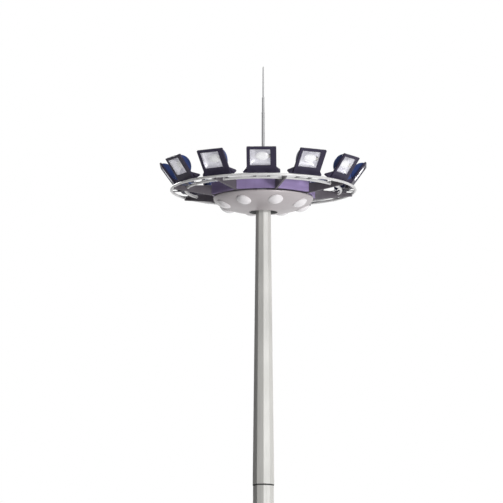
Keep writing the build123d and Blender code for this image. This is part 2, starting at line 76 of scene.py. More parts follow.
def lifted(outline, height):  # a flat outline lying at one height
    return np.column_stack([outline, np.full(len(outline), height)])


def faced(outline, x):  # a flat outline stood up across x
    return np.column_stack([np.full(len(outline), x), outline])


def onEdge(outline):  # a flat outline stood up along x
    return np.insert(outline, 1, 0.0, axis=1)


def bothWays(profile):  # a profile and its mirror below the x axis, as one line
    return [*profile, *[(reach, -height) for reach, height in reversed(profile)]]


def skin(rings, loop=False):
    # grid of points, station by station: each four neighbours make a face, each open end is closed by one
    rings = np.asarray(rings, float)
    along, across = rings.shape[:2]
    i = np.arange(along if loop else along - 1)[:, None]
    j = np.arange(across)[None]
    nextI, nextJ = (i + 1) % along, (j + 1) % across
    quads = np.stack([i * across + j, i * across + nextJ, nextI * across + nextJ, nextI * across + j], -1)
    faces = [quads.reshape(-1, 4)]
    if not loop:
        faces += [np.arange(across)[None, ::-1], (along - 1) * across + np.arange(across)[None]]
    return rings.reshape(-1, 3), faces


def moved(shape, place):
    points, faces = shape
    return points @ place[:3, :3].T + place[:3, 3], faces


def joined(*shapes):  # several shapes as one, each with its faces counted on from the last
    starts = np.cumsum([0] + [len(points) for points, _ in shapes])
    points = np.concatenate([points for points, _ in shapes])
    return points, [face + start for (_, faces), start in zip(shapes, starts) for face in faces]


def turned(profile, steps=48, loop=False):
    # (radius, height) profile carried once round z: (r cos a, r sin a, h)
    profile = np.asarray(profile, float)
    across = lifted(arcOf(np.arange(steps) * 2 * np.pi / steps, 1.0), 0.0)
    rings = profile[:, 0, None, None] * across + profile[:, 1, None, None] * np.array([0, 0, 1.0])
    return skin(rings, loop=loop)


def softened(outline, radius, steps=4):
    # closed flat outline with each corner replaced by an arc tangent to both its sides
    outline = np.asarray(outline, float)
    back, ahead = np.roll(outline, 1, 0) - outline, np.roll(outline, -1, 0) - outline
    backLength, aheadLength = np.linalg.norm(back, axis=1), np.linalg.norm(ahead, axis=1)
    back, ahead = back / backLength[:, None], ahead / aheadLength[:, None]
    corner = np.arccos(np.clip((back * ahead).sum(1), -0.999999, 0.999999))
    cut = np.minimum(radius / np.tan(corner / 2), 0.48 * np.minimum(backLength, aheadLength))
    arc = cut * np.tan(corner / 2)
    middle = (back + ahead) / np.linalg.norm(back + ahead, axis=1)[:, None]
    centre = outline + middle * (arc / np.sin(corner / 2))[:, None]
    start, end = outline + back * cut[:, None] - centre, outline + ahead * cut[:, None] - centre
    sweep = (np.pi - corner)[:, None, None]
    share = np.linspace(0, 1, steps + 1)[None, :, None]
    points = np.sin((1 - share) * sweep) * start[:, None] + np.sin(share * sweep) * end[:, None]
    return (centre[:, None] + points / np.sin(sweep)).reshape(-1, 2)


def shrunk(outline, inset):
    # each point of a closed outline moved in along the mean of its two sides' normals
    outline = np.asarray(outline, float)
    side = np.roll(outline, -1, 0) - outline
    side = side / np.maximum(np.linalg.norm(side, axis=1), 1e-9)[:, None]
    normal = np.stack([-side[:, 1], side[:, 0]], -1)
    x, y = outline.T
    if (x * np.roll(y, -1) - np.roll(x, -1) * y).sum() < 0:
        normal = -normal
    before = np.roll(normal, 1, 0)
    mean = (normal + before) / (1 + (normal * before).sum(1))[:, None]
    return outline + inset * mean


def plate(outline, low, high, soft=1.5, steps=3):
    # flat outline lifted from low to high, with quarter-round edges: inset s(1 - sin t), height s(1 - cos t)
    turn = np.linspace(0, np.pi / 2, steps + 1)
    inset = np.concatenate([soft * (1 - np.sin(turn)), soft * (1 - np.cos(turn))])
    height = np.concatenate([low + soft * (1 - np.cos(turn)), high - soft * (1 - np.sin(turn))])
    return skin([lifted(shrunk(outline, one), level) for one, level in zip(inset, height)])


def rectangle(width, height, radius, steps=4, x=0.0, y=0.0):
    corners = np.array([(1, 1), (-1, 1), (-1, -1), (1, -1)]) * (width / 2, height / 2) + (x, y)
    return softened(corners, radius, steps)


def block(width, depth, height, soft=2.0):  # rounded box about the origin
    return plate(rectangle(width, depth, soft * 1.5, 3), -height / 2, height / 2, soft)


def sideways(path, flat, closed=False):
    # unit vectors across a path that lies in a plane: one in the plane, one along its normal
    ahead = np.roll(path, -1, 0) - np.roll(path, 1, 0) if closed else np.gradient(path, axis=0)
    ahead = ahead / np.linalg.norm(ahead, axis=1)[:, None]
    flat = np.broadcast_to(np.asarray(flat, float), path.shape)
    return np.cross(flat, ahead), flat


def circled(path, out, flat, radius, sides):  # path + r (cos a out + sin a flat)
    angle = np.arange(sides) * 2 * np.pi / sides
    circle = np.cos(angle)[None, :, None] * out[:, None] + np.sin(angle)[None, :, None] * flat[:, None]
    return path[:, None] + np.broadcast_to(radius, (len(path),))[:, None, None] * circle


def tube(path, radius, sides, flat, closed=False):
    # circle carried along a path that lies in a plane with the normal flat
    path = np.asarray(path, float)
    return skin(circled(path, *sideways(path, flat, closed), radius, sides), loop=closed)


def stranded(path, radius, strands=6, pitch=66.0):
    # strands lie on circles round a rope in the plane across y; their angle grows by one turn for each pitch
    out, flat = sideways(path, (0, 1, 0))
    far = np.concatenate([[0], np.cumsum(np.linalg.norm(np.diff(path, axis=0), axis=1))])
    thin = radius * 0.36
    shapes = []
    for number in range(strands):
        lay = 2 * np.pi * (far / pitch + number / strands)
        middle = path + (radius - thin) * (np.cos(lay)[:, None] * out + np.sin(lay)[:, None] * flat)
        shapes.append(skin(circled(middle, out, flat, thin, 7)))
    return joined(*shapes)


def ball(radius, rise):  # low round head standing on z = 0
    return turned(arcOf(np.linspace(0, np.pi / 2 * 0.93, 4), radius, rise), 8)


def hexBolt(flats, height):  # washer and six-sided head with a cut corner
    corner, washer = flats / math.sqrt(3), flats * 0.1
    head = [(corner, washer), (corner, height - flats * 0.06), (corner * 0.88, height)]
    under = [(flats * 0.95, 0), (flats * 0.95, washer * 0.8), (flats * 0.9, washer)]
    return joined(turned(under, 20), turned(head, 6))


class Mould:  # gathers shapes, then makes them one piece
    def __init__(self):
        self.points, self.corners, self.sides, self.looks, self.total = [], [], [], [], 0

    def add(self, shape, look=0, places=None):
        points, faceSets = shape
        places = np.eye(4)[None] if places is None else np.asarray(places).reshape(-1, 4, 4)
        copies = np.einsum("mij,nj->mni", places[:, :3, :3], points) + places[:, None, :3, 3]
        count, size = copies.shape[:2]
        starts = self.total + size * np.arange(count)
        for faces in faceSets:
            self.corners.append((faces[None] + starts[:, None, None]).ravel())
            self.sides.append(np.full(count * len(faces), faces.shape[1]))
            self.looks.append(np.full(count * len(faces), look))
        self.points.append(copies.reshape(-1, 3))
        self.total += count * size
        return self

    def make(self, name, body, slot, finishes, replaced=(), crease=32):
        points = np.concatenate(self.points) / 1000
        sides = np.concatenate(self.sides)
        mesh = bpy.data.meshes.new(name)
        mesh.vertices.add(len(points))
        mesh.vertices.foreach_set("co", points.astype(np.float32).ravel())
        mesh.loops.add(int(sides.sum()))
        mesh.loops.foreach_set("vertex_index", np.concatenate(self.corners).astype(np.int32))
        mesh.polygons.add(len(sides))
        mesh.polygons.foreach_set("loop_start", (np.cumsum(sides) - sides).astype(np.int32))
        mesh.polygons.foreach_set("material_index", np.concatenate(self.looks).astype(np.int32))
        mesh.update(calc_edges=True)
        work = bmesh.new()
        work.from_mesh(mesh)
        bmesh.ops.remove_doubles(work, verts=work.verts, dist=1e-6)
        bmesh.ops.recalc_face_normals(work, faces=work.faces)
        work.to_mesh(mesh)
        work.free()
        mesh.polygons.foreach_set("use_smooth", np.ones(len(mesh.polygons), bool))
        mesh.set_sharp_from_angle(angle=math.radians(crease))
        for finish in finishes:
            mesh.materials.append(finish)
        piece = bpy.data.objects.new(name, mesh)
        bpy.context.collection.objects.link(piece)
        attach(piece, body)
        if replaced:
            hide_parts(*replaced)
        return piece


class Wire:  # a value on its way through a material, which Python's own operators change
    def __init__(self, finish, socket):
        self.finish, self.socket = finish, socket

    def maths(self, operation, *values, **settings):
        return self.finish.node("Math", list(values), operation=operation, **settings)

    def __add__(self, other):
        return self.maths("ADD", self, other)

    def __sub__(self, other):
        return self.maths("SUBTRACT", self, other)

    def __rsub__(self, other):
        return self.maths("SUBTRACT", other, self)

    def __mul__(self, other):
        return self.maths("MULTIPLY", self, other)

    __radd__ = __add__
    __rmul__ = __mul__

    def clipped(self):
        return self.maths("ADD", self, 0.0, use_clamp=True)


class Finish:  # one material
    def __init__(self, name, **surface):
        self.material = bpy.data.materials.new(name)
        self.material.use_nodes = True
        self.tree = self.material.node_tree
        self.shader = self.tree.nodes["Principled BSDF"]
        self.set(**surface)
        self.here = self.node("TexCoord", output="Object")

    def node(self, kind, sockets=(), output=0, **settings):
        made = self.tree.nodes.new("ShaderNode" + kind)
        for key, value in settings.items():
            setattr(made, key, value)
        entries = sockets.items() if isinstance(sockets, dict) else enumerate(sockets)
        for key, value in entries:
            self.feed(made.inputs[key], value)
        return Wire(self, made.outputs[output])

    def feed(self, socket, value):
        if isinstance(value, Wire):
            self.tree.links.new(value.socket, socket)
        else:
            socket.default_value = value

    def set(self, **surface):  # names of the shader's sockets, with _ for a space
        for key, value in surface.items():
            self.feed(self.shader.inputs[key.replace("_", " ")], value)

    def stretched(self, x=1.0, y=1.0, z=1.0):
        return self.node("Mapping", {"Vector": self.here, "Scale": (x, y, z)})

    def noise(self, scale, detail=3.0, rough=0.55, over=None):
        sockets = {"Vector": over or self.here, "Scale": scale, "Detail": detail, "Roughness": rough}
        return self.node("TexNoise", sockets)

    def band(self, value, low, high):  # 0 below low, 1 above high, smooth between
        sockets = {"Value": value, "From Min": low, "From Max": high}
        return self.node("MapRange", sockets, interpolation_type="SMOOTHSTEP")

    def mix(self, share, first, second):
        return self.node("Mix", {0: share, 6: first, 7: second}, output=2, data_type="RGBA")

    def bump(self, height, strength, distance):
        return self.node("Bump", {"Height": height, "Strength": strength, "Distance": distance})


def darker(colour, share):
    return (*[value * share for value in colour[:3]], 1.0)


def coatedMetal(name, colour, look):
    # colour: the paint, mottled by broad noise and by noise drawn out downwards, as rain leaves it
    # roughness: its middle value and a little of the broad noise and of the grain; bump: the grain itself
    look = {"shine": 0.5, "broad": 2.2, "mottle": 0.3, "streak": 0.25, "relief": 0.12, **look}
    finish = Finish(name, Specular_IOR_Level=look["shine"])
    broad = finish.noise(look["broad"], 4.0)
    streaks = finish.noise(14.0, 4.0, 0.6, finish.stretched(z=0.06))
    grain = finish.noise(420.0, 2.0)
    tone = finish.mix(finish.band(broad, 0.35, 0.7) * look["mottle"], colour, darker(colour, 0.8))
    tone = finish.mix(finish.band(streaks, 0.48, 0.72) * look["streak"], tone, darker(colour, 0.72))
    rough = (broad - 0.5) * 0.16 + (grain - 0.5) * 0.08 + look["rough"]
    finish.set(Base_Color=tone, Roughness=rough.clipped(), Normal=finish.bump(grain, look["relief"], 0.0006))
    return finish.material


def zincCoat(name, colour, look):
    # colour and roughness step from cell to cell, as the crystals of a zinc bath do
    look = {"metal": 0.0, "spread": 0.35, "relief": 0.08, **look}
    finish = Finish(name, Metallic=look["metal"])
    cells = finish.node("TexVoronoi", {"Vector": finish.here, "Scale": look["cells"]}, output=1)
    cell = finish.node("SeparateColor", {"Color": cells})
    broad = finish.noise(3.0, 4.0)
    grain = finish.noise(600.0, 2.0)
    dull = cell * look["spread"] + finish.band(broad, 0.3, 0.75) * 0.35
    tone = finish.mix(dull, colour, darker(colour, 0.74))
    rough = cell * 0.12 + broad * 0.14 + look["rough"]
    finish.set(Base_Color=tone, Roughness=rough, Normal=finish.bump(grain, look["relief"], 0.0005))
    return finish.material


def rubberLook(name, colour, rough):  # dull and slightly uneven
    finish = Finish(name)
    fine = finish.noise(260.0, 3.0)
    tone = finish.mix(fine, colour, darker(colour, 0.7))
    finish.set(Base_Color=tone, Roughness=fine * 0.15 + rough, Normal=finish.bump(fine, 0.3, 0.0006))
    return finish.material


def spunMetal(name, colour, look):
    # marks of the spinning tool: noise read along the distance from the mast's axis alone
    finish = Finish(name, Metallic=look["metal"], Coat_Weight=look["coat"], Coat_Roughness=0.2)
    x, y = (finish.node("SeparateXYZ", [finish.here], output=axis) for axis in (0, 1))
    reach = finish.node("VectorMath", [finish.node("CombineXYZ", [x, y, 0.0])], output=1, operation="LENGTH")
    marks = finish.node("TexNoise", {"W": reach, "Scale": 320.0, "Detail": 3.0}, noise_dimensions="1D")
    broad = finish.noise(2.5, 4.0)
    tone = finish.mix(finish.band(broad, 0.35, 0.7) * 0.3 + marks * 0.12, colour, darker(colour, 0.82))
    rough = marks * 0.1 + (broad - 0.5) * 0.12 + look["rough"]
    finish.set(Base_Color=tone, Roughness=rough, Normal=finish.bump(marks, 0.05, 0.0005))
    return finish.material


def opal(name, colour, rough, paintedGlow=0.0):  # milky moulding: a clear gloss over a soft white body; paintedGlow is a painted glow, an emission in its own colour
    finish = Finish(name, Coat_Weight=0.6, Coat_Roughness=0.06, Emission_Strength=paintedGlow)
    broad = finish.noise(7.0, 3.0)
    tone = finish.mix(finish.band(broad, 0.35, 0.7) * 0.35, colour, darker(colour, 0.9))
    finish.set(Base_Color=tone, Roughness=broad * 0.08 + rough, Emission_Color=colour)
    return finish.material


def clearPane(name, tint, cover):  # cover is how much of the pane's own gloss and dust is seen
    finish = Finish(name, Base_Color=tint, Roughness=0.03, Specular_IOR_Level=0.7)
    finish.set(Alpha=finish.band(finish.noise(9.0, 4.0), 0.4, 0.8) * 0.06 + cover)
    return finish.material


print("stage: finishes")
paints = {
    "mast": (210, 209, 204), "ring": (226, 225, 224), "rod": (202, 202, 202), "arm": (100, 95, 101),
    "drum": (159, 141, 186), "bowl": (186, 179, 180), "lens": (240, 236, 237), "panel": (61, 56, 75),
    "cover": (52, 70, 124), "zinc": (172, 174, 175), "bracket": (74, 72, 78), "cap": (196, 197, 199),
    "rope": (150, 150, 152), "rubber": (30, 29, 31), "sealant": (58, 57, 56), "reflector": (228, 227, 233),
    "bulb": (232, 232, 232), "ceramic": (226, 222, 214), "glass": (236, 236, 242), "floor": (236, 236, 235),
}
paints = {name: screenColour(*paint) for name, paint in paints.items()}
mastSteel = coatedMetal("mastSteel", paints["mast"], {"rough": 0.36, "streak": 0.3, "mottle": 0.2})
ringSteel = zincCoat("ringSteel", paints["ring"], {"cells": 70.0, "rough": 0.3, "metal": 0.15, "spread": 0.1,
                                                   "relief": 0.012})
rodSteel = zincCoat("rodSteel", paints["rod"], {"cells": 60.0, "rough": 0.42, "spread": 0.1})
armPaint = coatedMetal("armPaint", paints["arm"], {"rough": 0.4, "shine": 0.15, "streak": 0.35, "broad": 5.0})
drumPaint = coatedMetal("drumPaint", paints["drum"], {"rough": 0.34, "shine": 0.25, "streak": 0.35,
                                                      "broad": 4.0})
bowlPaint = spunMetal("bowlPaint", paints["bowl"], {"rough": 0.36, "metal": 0.15, "coat": 0.15})
lensOpal = opal("lensOpal", paints["lens"], 0.16)
panelPaint = coatedMetal("panelPaint", paints["panel"], {"rough": 0.4, "shine": 0.12, "broad": 6.0,
                                                         "relief": 0.2})
coverPaint = coatedMetal("coverPaint", paints["cover"], {"rough": 0.36, "shine": 0.2, "broad": 6.0,
                                                         "relief": 0.15})
zincSteel = zincCoat("zincSteel", paints["zinc"], {"cells": 90.0, "rough": 0.34, "metal": 0.4})
darkZinc = zincCoat("darkZinc", paints["bracket"], {"cells": 90.0, "rough": 0.44})
boltZinc = zincCoat("boltZinc", paints["zinc"], {"cells": 400.0, "rough": 0.28, "metal": 0.6})
capSheet = spunMetal("capSheet", paints["cap"], {"rough": 0.34, "metal": 0.3, "coat": 0.0})
ropeSteel = zincCoat("ropeSteel", paints["rope"], {"cells": 900.0, "rough": 0.38, "metal": 0.6})
darkRubber = rubberLook("darkRubber", paints["rubber"], 0.55)
# dark sealant colour, partly a real sealant fillet and partly painted shade for the shadow gap at the slip
# joints
sealant = rubberLook("sealant", paints["sealant"], 0.6)
reflectorSatin = zincCoat("reflectorSatin", paints["reflector"], {"cells": 12.0, "rough": 0.26, "metal": 0.9,
                                                                  "spread": 0.06})
# painted glow: the bulb emits faintly so that the window looks bright, though the floodlight is not lit
bulbOpal = opal("bulbOpal", paints["bulb"], 0.12, 0.3)
ceramic = opal("ceramic", paints["ceramic"], 0.3)
glassPane = clearPane("glassPane", paints["glass"], 0.05)

# places a flat outline stood up, facing +x
upright = np.array([[0, 0, 1.0, 0], [1, 0, 0, 0], [0, 1, 0, 0], [0, 0, 0, 1]])


def nodePoints(node):
    mesh = frame["nodes"][node].data
    points = np.empty(len(mesh.vertices) * 3, np.float32)
    mesh.vertices.foreach_get("co", points)
    return points.reshape(-1, 3).astype(float) * 1000


def boxOf(node, turn=0.0):  # a node's box in directions turned about the mast
    points = nodePoints(node) @ spin("z", turn)[:3, :3]
    return points.min(0), points.max(0)


def paintNode(node, finish):
    slots = frame["nodes"][node].data.materials
    slots.clear()
    slots.append(finish)


ringPlane = sum(boxOf("outer_ring"))[2] / 2
raised = shift(z=ringPlane)

print("stage: mast")
mast = {"wall": 8.0, "bend": 15.0, "boreBend": 8.0, "lip": 1.6, "seamWidth": 10.0, "seamRise": 1.3,
        "sealant": 29.0, "weld": 6.0}
sectionNames = [f"mast_section_{number}" for number in range(1, 5)]
sectionFeet = [boxOf(name)[0][2] for name in sectionNames]
sectionTops = [boxOf(name)[1][2] for name in sectionNames]


def cornersAt(node, height):  # directions and radius of a section's outline corners at one height
    points = nodePoints(node)
    points = points[np.abs(points[:, 2] - height) < 1]
    radius = np.hypot(points[:, 0], points[:, 1])
    outer = points[radius > radius.max() - 1]
    return np.unique(np.round(np.degrees(np.arctan2(outer[:, 1], outer[:, 0])), 1)), radius.max()


cornerTurns = cornersAt("mast_section_4", sectionFeet[3])[0]
sideCount = len(cornerTurns)
sideTurn = 360 / sideCount
faceTurn = cornerTurns[0] + sideTurn / 2
flatShare = math.cos(math.pi / sideCount)


def poleOutline(radius, bend=mast["bend"]):  # regular outline with its corners bent round
    turn = np.radians(cornerTurns[0] + np.arange(sideCount) * sideTurn)
    return softened(radius * arcOf(turn, 1.0), bend)


def poleRings(stations, bend=mast["bend"]):
    return [lifted(poleOutline(radius, bend), height) for height, radius in stations]


bead = np.array([(-5, -0.3), (-3, 0.8), (0, 1), (3, 0.8), (5, -0.3), (0, -1.5)])
bead = bead * (mast["seamWidth"] / 10, mast["seamRise"])
sectionOuter = []
for number, name in enumerate(sectionNames):
    foot, top = sectionFeet[number], sectionTops[number]
    joint = sectionFeet[number + 1] if number < 3 else top
    heights = [foot, top] if joint == top else [foot, joint, top]
    outer = [cornersAt(name, height)[1] for height in heights]
    sectionOuter.append((heights, outer))
    line = list(zip(heights, outer))
    lip = [(foot, outer[0] - mast["lip"]), (foot + mast["lip"], outer[0])] + line[1:]
    bore = [(height, radius - mast["wall"] / flatShare) for height, radius in reversed(line)]
    mould = Mould().add(skin(poleRings(lip) + poleRings(bore, mast["boreBend"]), loop=True))
    seam = [np.column_stack([radius * flatShare + bead[:, 1], bead[:, 0], np.full(6, height)])
            for height, radius in zip((foot + 2, joint - 1), outer)]
    seamFace = 5 if number % 2 else 2
    mould.add(moved(skin(seam), spin("z", faceTurn + sideTurn * seamFace)))
    if number:  # dark sealant fillet in the corner below the upper section's edge, also painted shade: its dark colour stands in for the joint's shadow gap
        low, middle, high = foot - mast["sealant"], foot - mast["sealant"] * 0.45, foot - 0.5
        neck = np.interp([low, foot - 1], *sectionOuter[number - 1])
        profile = [(low, neck[0] + 0.4), (middle, neck[1] + 4.5), (high, outer[0] - 1.8), (high, neck[1] - 1),
                   (low, neck[0] - 1)]
        mould.add(skin(poleRings(profile), loop=True), 1)
    else:  # fillet weld on the flange
        mould.add(tube(lifted(poleOutline(outer[0] + 3), foot + 3), mast["weld"], 8, (0, 0, 1), closed=True))
    mould.make(name + "_skin", "mast", "mast_steel", [mastSteel, sealant], [name])

for name in ("base_flange", "base_gussets", "access_door_frame"):
    paintNode(name, mastSteel)

base = {"boltCircle": 350.0, "studRadius": 18.0, "studRise": 96.0, "thread": 1.6, "nut": 55.0,
        "nutHeight": 29.0}
flangeTop = boxOf("base_flange")[1][2]
threadRadius = base["studRadius"] - np.tile([0, base["thread"]], 16)
thread = np.column_stack([threadRadius, np.linspace(0, base["studRise"], 32)])
nut = turned([(base["nut"] / math.sqrt(3) * share, height) for share, height in
              ((0.9, 6), (1, 9), (1, base["nutHeight"] + 2), (0.9, base["nutHeight"] + 6))], 6)
washer = turned([(52, 0), (52, 5), (51, 6)], 28)
stud = joined(turned(thread, 14), nut, moved(nut, shift(z=base["nutHeight"] + 2)), washer)
Mould().add(stud, 0, around(sideCount, faceTurn) @ shift(base["boltCircle"], 0, flangeTop)).make(
    "anchor_nuts", "mast", "zinc_steel", [boltZinc])

door = {"corner": 16.0, "lock": 17.0, "lockInset": 30.0, "lockSeat": 4.6}
doorPoints = nodePoints("access_door")
doorTurn = math.degrees(math.atan2(*(doorPoints[:, :2].max(0) + doorPoints[:, :2].min(0))[::-1]))
doorTurn = faceTurn + round((doorTurn - faceTurn) / sideTurn) * sideTurn
doorLow, doorHigh = boxOf("access_door", doorTurn)
doorThick, doorWidth, doorHeight = doorHigh - doorLow
doorPlace = spin("z", doorTurn) @ shift(doorLow[0], 0, (doorHigh[2] + doorLow[2]) / 2)
leaf = plate(rectangle(doorWidth, doorHeight, door["corner"]), 0, doorThick, 1.2)
lock = turned([(door["lock"], 0), (door["lock"], 2.4), (door["lock"] - 2, 4), (7, 4), (7, 1)], 28)
lockSide, lockRise = doorWidth / 2 - door["lockInset"], doorHeight / 2 - door["lockInset"]
locks = np.stack([shift(door["lockSeat"], side * lockSide, height * lockRise)
                  for side in (-1, 1) for height in (-1, 1)])
Mould().add(leaf, 0, doorPlace @ upright).add(lock, 1, doorPlace @ locks @ upright).make(
    "access_door_leaf", "mast", "mast_steel", [mastSteel, boltZinc], ["access_door"])

print("stage: mast head")
head = {"pulleyAngle": 60.0, "pulleyPlace": 200.0, "pulleyHeight": 152.0, "pulleyHalf": 17.0,
        "pulleyRim": 107.0, "pinEnd": 28.0, "groove": 100.3, "rope": 6.0, "ropeOut": 300.0}
plateLow, plateHigh = boxOf("head_plate")
plateReach, plateBore = plateHigh[0], np.hypot(*nodePoints("head_plate")[:, :2].T).min()
profile = [(plateBore, plateLow[2]), (plateReach, plateLow[2]), (plateReach, plateHigh[2]),
           (plateBore, plateHigh[2])]
Mould().add(turned(softened(profile, 3, 3), 72, loop=True)).make(
    "head_plate_turned", "mast", "mast_steel", [mastSteel], ["head_plate"])
paintNode("head_pulley_cheeks", zincSteel)
half, rim, ropeSeat = head["pulleyHalf"], head["pulleyRim"], head["groove"] - head["rope"]
dip = np.linspace(0, np.pi, 9)
groove = np.column_stack([rim - (rim - ropeSeat) * np.sin(dip), -6.5 * np.cos(dip)])
wheel = bothWays([(rim, half - 3), (rim - 3, half), (84, half), (78, 6), (34, 6), (30, half), (12.3, half)])
pulleys = around(3, head["pulleyAngle"]) @ raised @ shift(head["pulleyPlace"], 0, head["pulleyHeight"])
Mould().add(turned([wheel[-1], *groove, *wheel[:-1]], 56, loop=True), 0, pulleys @ spin("x", 90)).make(
    "head_pulley_wheels", "mast", "zinc_steel", [zincSteel], ["head_pulleys"])
pinEnd = turned([(20, 0), (20, 7), (17, 9), (9, 9), (8, 14), (3, 15)], 16)
mould = Mould()
for side in (-1, 1):
    mould.add(pinEnd, 0, pulleys @ shift(y=side * head["pinEnd"]) @ spin("x", -90 * side))
mould.make("head_pin_ends", "mast", "zinc_steel", [boltZinc])
over = arcOf(np.linspace(0, np.pi, 56), head["groove"])
drop = np.column_stack([np.full(28, -head["groove"]), np.linspace(-4, -120, 28)])
Mould().add(stranded(onEdge(np.concatenate([over, drop])), head["rope"]), 0, pulleys).make(
    "head_rope_strands", "mast", "rope_steel", [ropeSteel], ["head_ropes"])

cap = {"sheet": 4.0, "hem": 4.5, "skirt": 70.0, "shoulder": 120.0, "eye": 20.0, "postRadius": 45.0,
       "legReach": 180.0, "legWidth": 40.0, "legThick": 12.0, "legBolt": 150.0, "bolt": (19, 13)}
capReach, capTop = boxOf("rain_cap")[1][0], boxOf("rain_cap")[1][2] - ringPlane
plateTop, domeRise = plateHigh[2] - ringPlane, capTop - cap["shoulder"]
climb = np.linspace(0, np.pi / 2, 28)[:-1]
outside = arcOf(climb, capReach, domeRise, y=cap["shoulder"])
inside = arcOf(climb, capReach - cap["sheet"], domeRise - cap["sheet"], y=cap["shoulder"])
hemTurn = np.linspace(0.15 * np.pi, -1.15 * np.pi, 9)
hem = arcOf(hemTurn, cap["hem"], x=capReach - cap["hem"], y=cap["skirt"] + cap["hem"])
profile = [(cap["eye"], capTop), *outside[::-1], *hem, *inside, (cap["eye"], capTop - cap["sheet"])]
post = turned([(cap["postRadius"] + 8, plateTop), (cap["postRadius"] + 8, plateTop + 10),
               (cap["postRadius"], plateTop + 13), (cap["postRadius"], capTop - 8)], 40)
leg = block(cap["legReach"], cap["legWidth"], cap["legThick"], 2)
leg = moved(leg, shift(cap["legReach"] / 2, 0, plateTop + cap["legThick"] / 2))
legTurns = around(3, head["pulleyAngle"] + 60)
mould = Mould().add(turned(profile, 96, loop=True), 0, raised).add(post, 0, raised)
mould.add(leg, 0, legTurns @ raised)
boltPlace = shift(cap["legBolt"], 0, plateTop + cap["legThick"])
mould.add(hexBolt(*cap["bolt"]), 1, legTurns @ raised @ boltPlace)
mould.make("rain_cap_spun", "mast", "cap_sheet", [capSheet, boltZinc], ["rain_cap"])

rod = {"stages": [(344, 32, 1500, 29), (1500, 25, 1790, 23), (1790, 15, 2360, 12.5)], "tip": 2400.0,
       "foot": 62.0, "footThick": 14.0, "boltCircle": 49.0, "bolt": (13, 9)}
thick = rod["footThick"]
line = [(12, 0), (rod["foot"], 0), (rod["foot"], thick - 2), (rod["foot"] - 2, thick), (38, thick),
        (34, thick + 5)]
line = [(radius, capTop + height) for radius, height in line]
# each stage ends in a collar, and the upper ones start with a step
for joint, (foot, footRadius, top, topRadius) in enumerate(rod["stages"]):
    line += [(footRadius + 1.5, foot + 12), (footRadius, foot + 30)] if joint else [(footRadius, foot + 8)]
    line += [(topRadius, top - 22), (topRadius + 2.2, top - 20), (topRadius + 2.2, top - 2),
             (topRadius - 0.5, top)]
tip = [(12.5, rod["tip"] - 40), (9, rod["tip"] - 12), (5, rod["tip"] - 3), (0.4, rod["tip"])]
rodShape = moved(turned(line[:-4] + tip, 40), raised)  # the last stage runs on into the tip, with no collar
footBolts = around(4, 45) @ raised @ shift(rod["boltCircle"], 0, capTop + thick)
Mould().add(rodShape).add(hexBolt(*rod["bolt"]), 1, footBolts).make(
    "lightning_rod_turned", "mast", "ring_steel", [rodSteel, boltZinc], ["lightning_rod"])

print("stage: rings and arms")
rings = {"outer": 1748.0, "outerTube": 25.0, "inner": 1476.0, "innerTube": 27.5, "innerDrop": 8.0,
         "sleeves": 4, "sleeveAngle": 38.5, "sleeveHalf": 55.0, "sleeveWall": 2.4, "screwTurn": 1.2,
         "screwDrop": 27.0}
arms = {"count": 8, "angle": 14.0, "width": 40.0, "edge": 4.0, "drumCorner": 1026.0, "collarReach": 274.0,
        "hubReach": 334.0, "hubTop": 10.0, "rootTop": 50.0, "bottom": -140.0, "tipTop": 15.0,
        "tipBottom": -50.0}
outer, inner, innerTube = rings["outer"], rings["inner"], rings["innerTube"]
armTurns = around(arms["count"], arms["angle"])
ringPath = lifted(arcOf(np.arange(288) * 2 * np.pi / 288, outer), 0.0)
sleevePath = lifted(arcOf(np.linspace(-1, 1, 9) * rings["sleeveHalf"] / outer, outer), 0.0)
sleeveRadius = rings["outerTube"] + rings["sleeveWall"] * np.array([0.2, 1, 1, 1, 1, 1, 1, 1, 0.2])
sleeveTurns = around(rings["sleeves"], rings["sleeveAngle"])
screwPlace = raised @ shift(outer, 0, -rings["screwDrop"]) @ spin("x", 180)
screws = np.stack([spin("z", side * rings["screwTurn"]) @ screwPlace for side in (-1, 1)])
mould = Mould().add(tube(ringPath, rings["outerTube"], 24, (0, 0, 1), closed=True), 0, raised)
mould.add(tube(sleevePath, sleeveRadius, 24, (0, 0, 1)), 0, sleeveTurns @ raised)
mould.add(ball(5, 3), 1, sleeveTurns[:, None] @ screws)
mould.make("outer_ring_tube", "carriage", "ring_steel", [ringSteel, boltZinc], ["outer_ring"])

clear = math.degrees(math.asin((arms["width"] / 2 - 1) / inner))
angle = np.radians(np.linspace(clear, 360 / arms["count"] - clear, 37))
innerPath = lifted(arcOf(angle, inner), -rings["innerDrop"])
weld = turned([(innerTube - 2, 0), (innerTube + 4, 0), (innerTube + 3, 3), (innerTube - 1, 6)], 24, loop=True)
weldPlaces = np.stack([shift(inner, side * arms["width"] / 2, -rings["innerDrop"]) @ spin("x", -90 * side)
                       for side in (1, -1)])
mould = Mould().add(tube(innerPath, innerTube, 24, (0, 0, 1)), 0, armTurns @ raised)
mould.add(weld, 0, armTurns[:, None] @ raised @ weldPlaces)
mould.make("inner_ring_tubes", "carriage", "ring_steel", [ringSteel], ["inner_ring"])


def armSection(x):
    # rounded rectangle whose top and bottom follow straight lines over the hub, the drum's corner and the tip
    root, tip = arms["drumCorner"], rings["outer"]
    top = np.interp(x, [arms["hubReach"], root, tip], [arms["hubTop"], arms["rootTop"], arms["tipTop"]])
    bottom = np.interp(x, [root, tip], [arms["bottom"], arms["tipBottom"]])
    return faced(rectangle(arms["width"], top - bottom, arms["edge"], y=(top + bottom) / 2), x)


stations = (arms["collarReach"], arms["hubReach"], 700, arms["drumCorner"], 1300, outer - 3, outer)
mould = Mould().add(skin([armSection(x) for x in stations]), 0, armTurns @ raised)
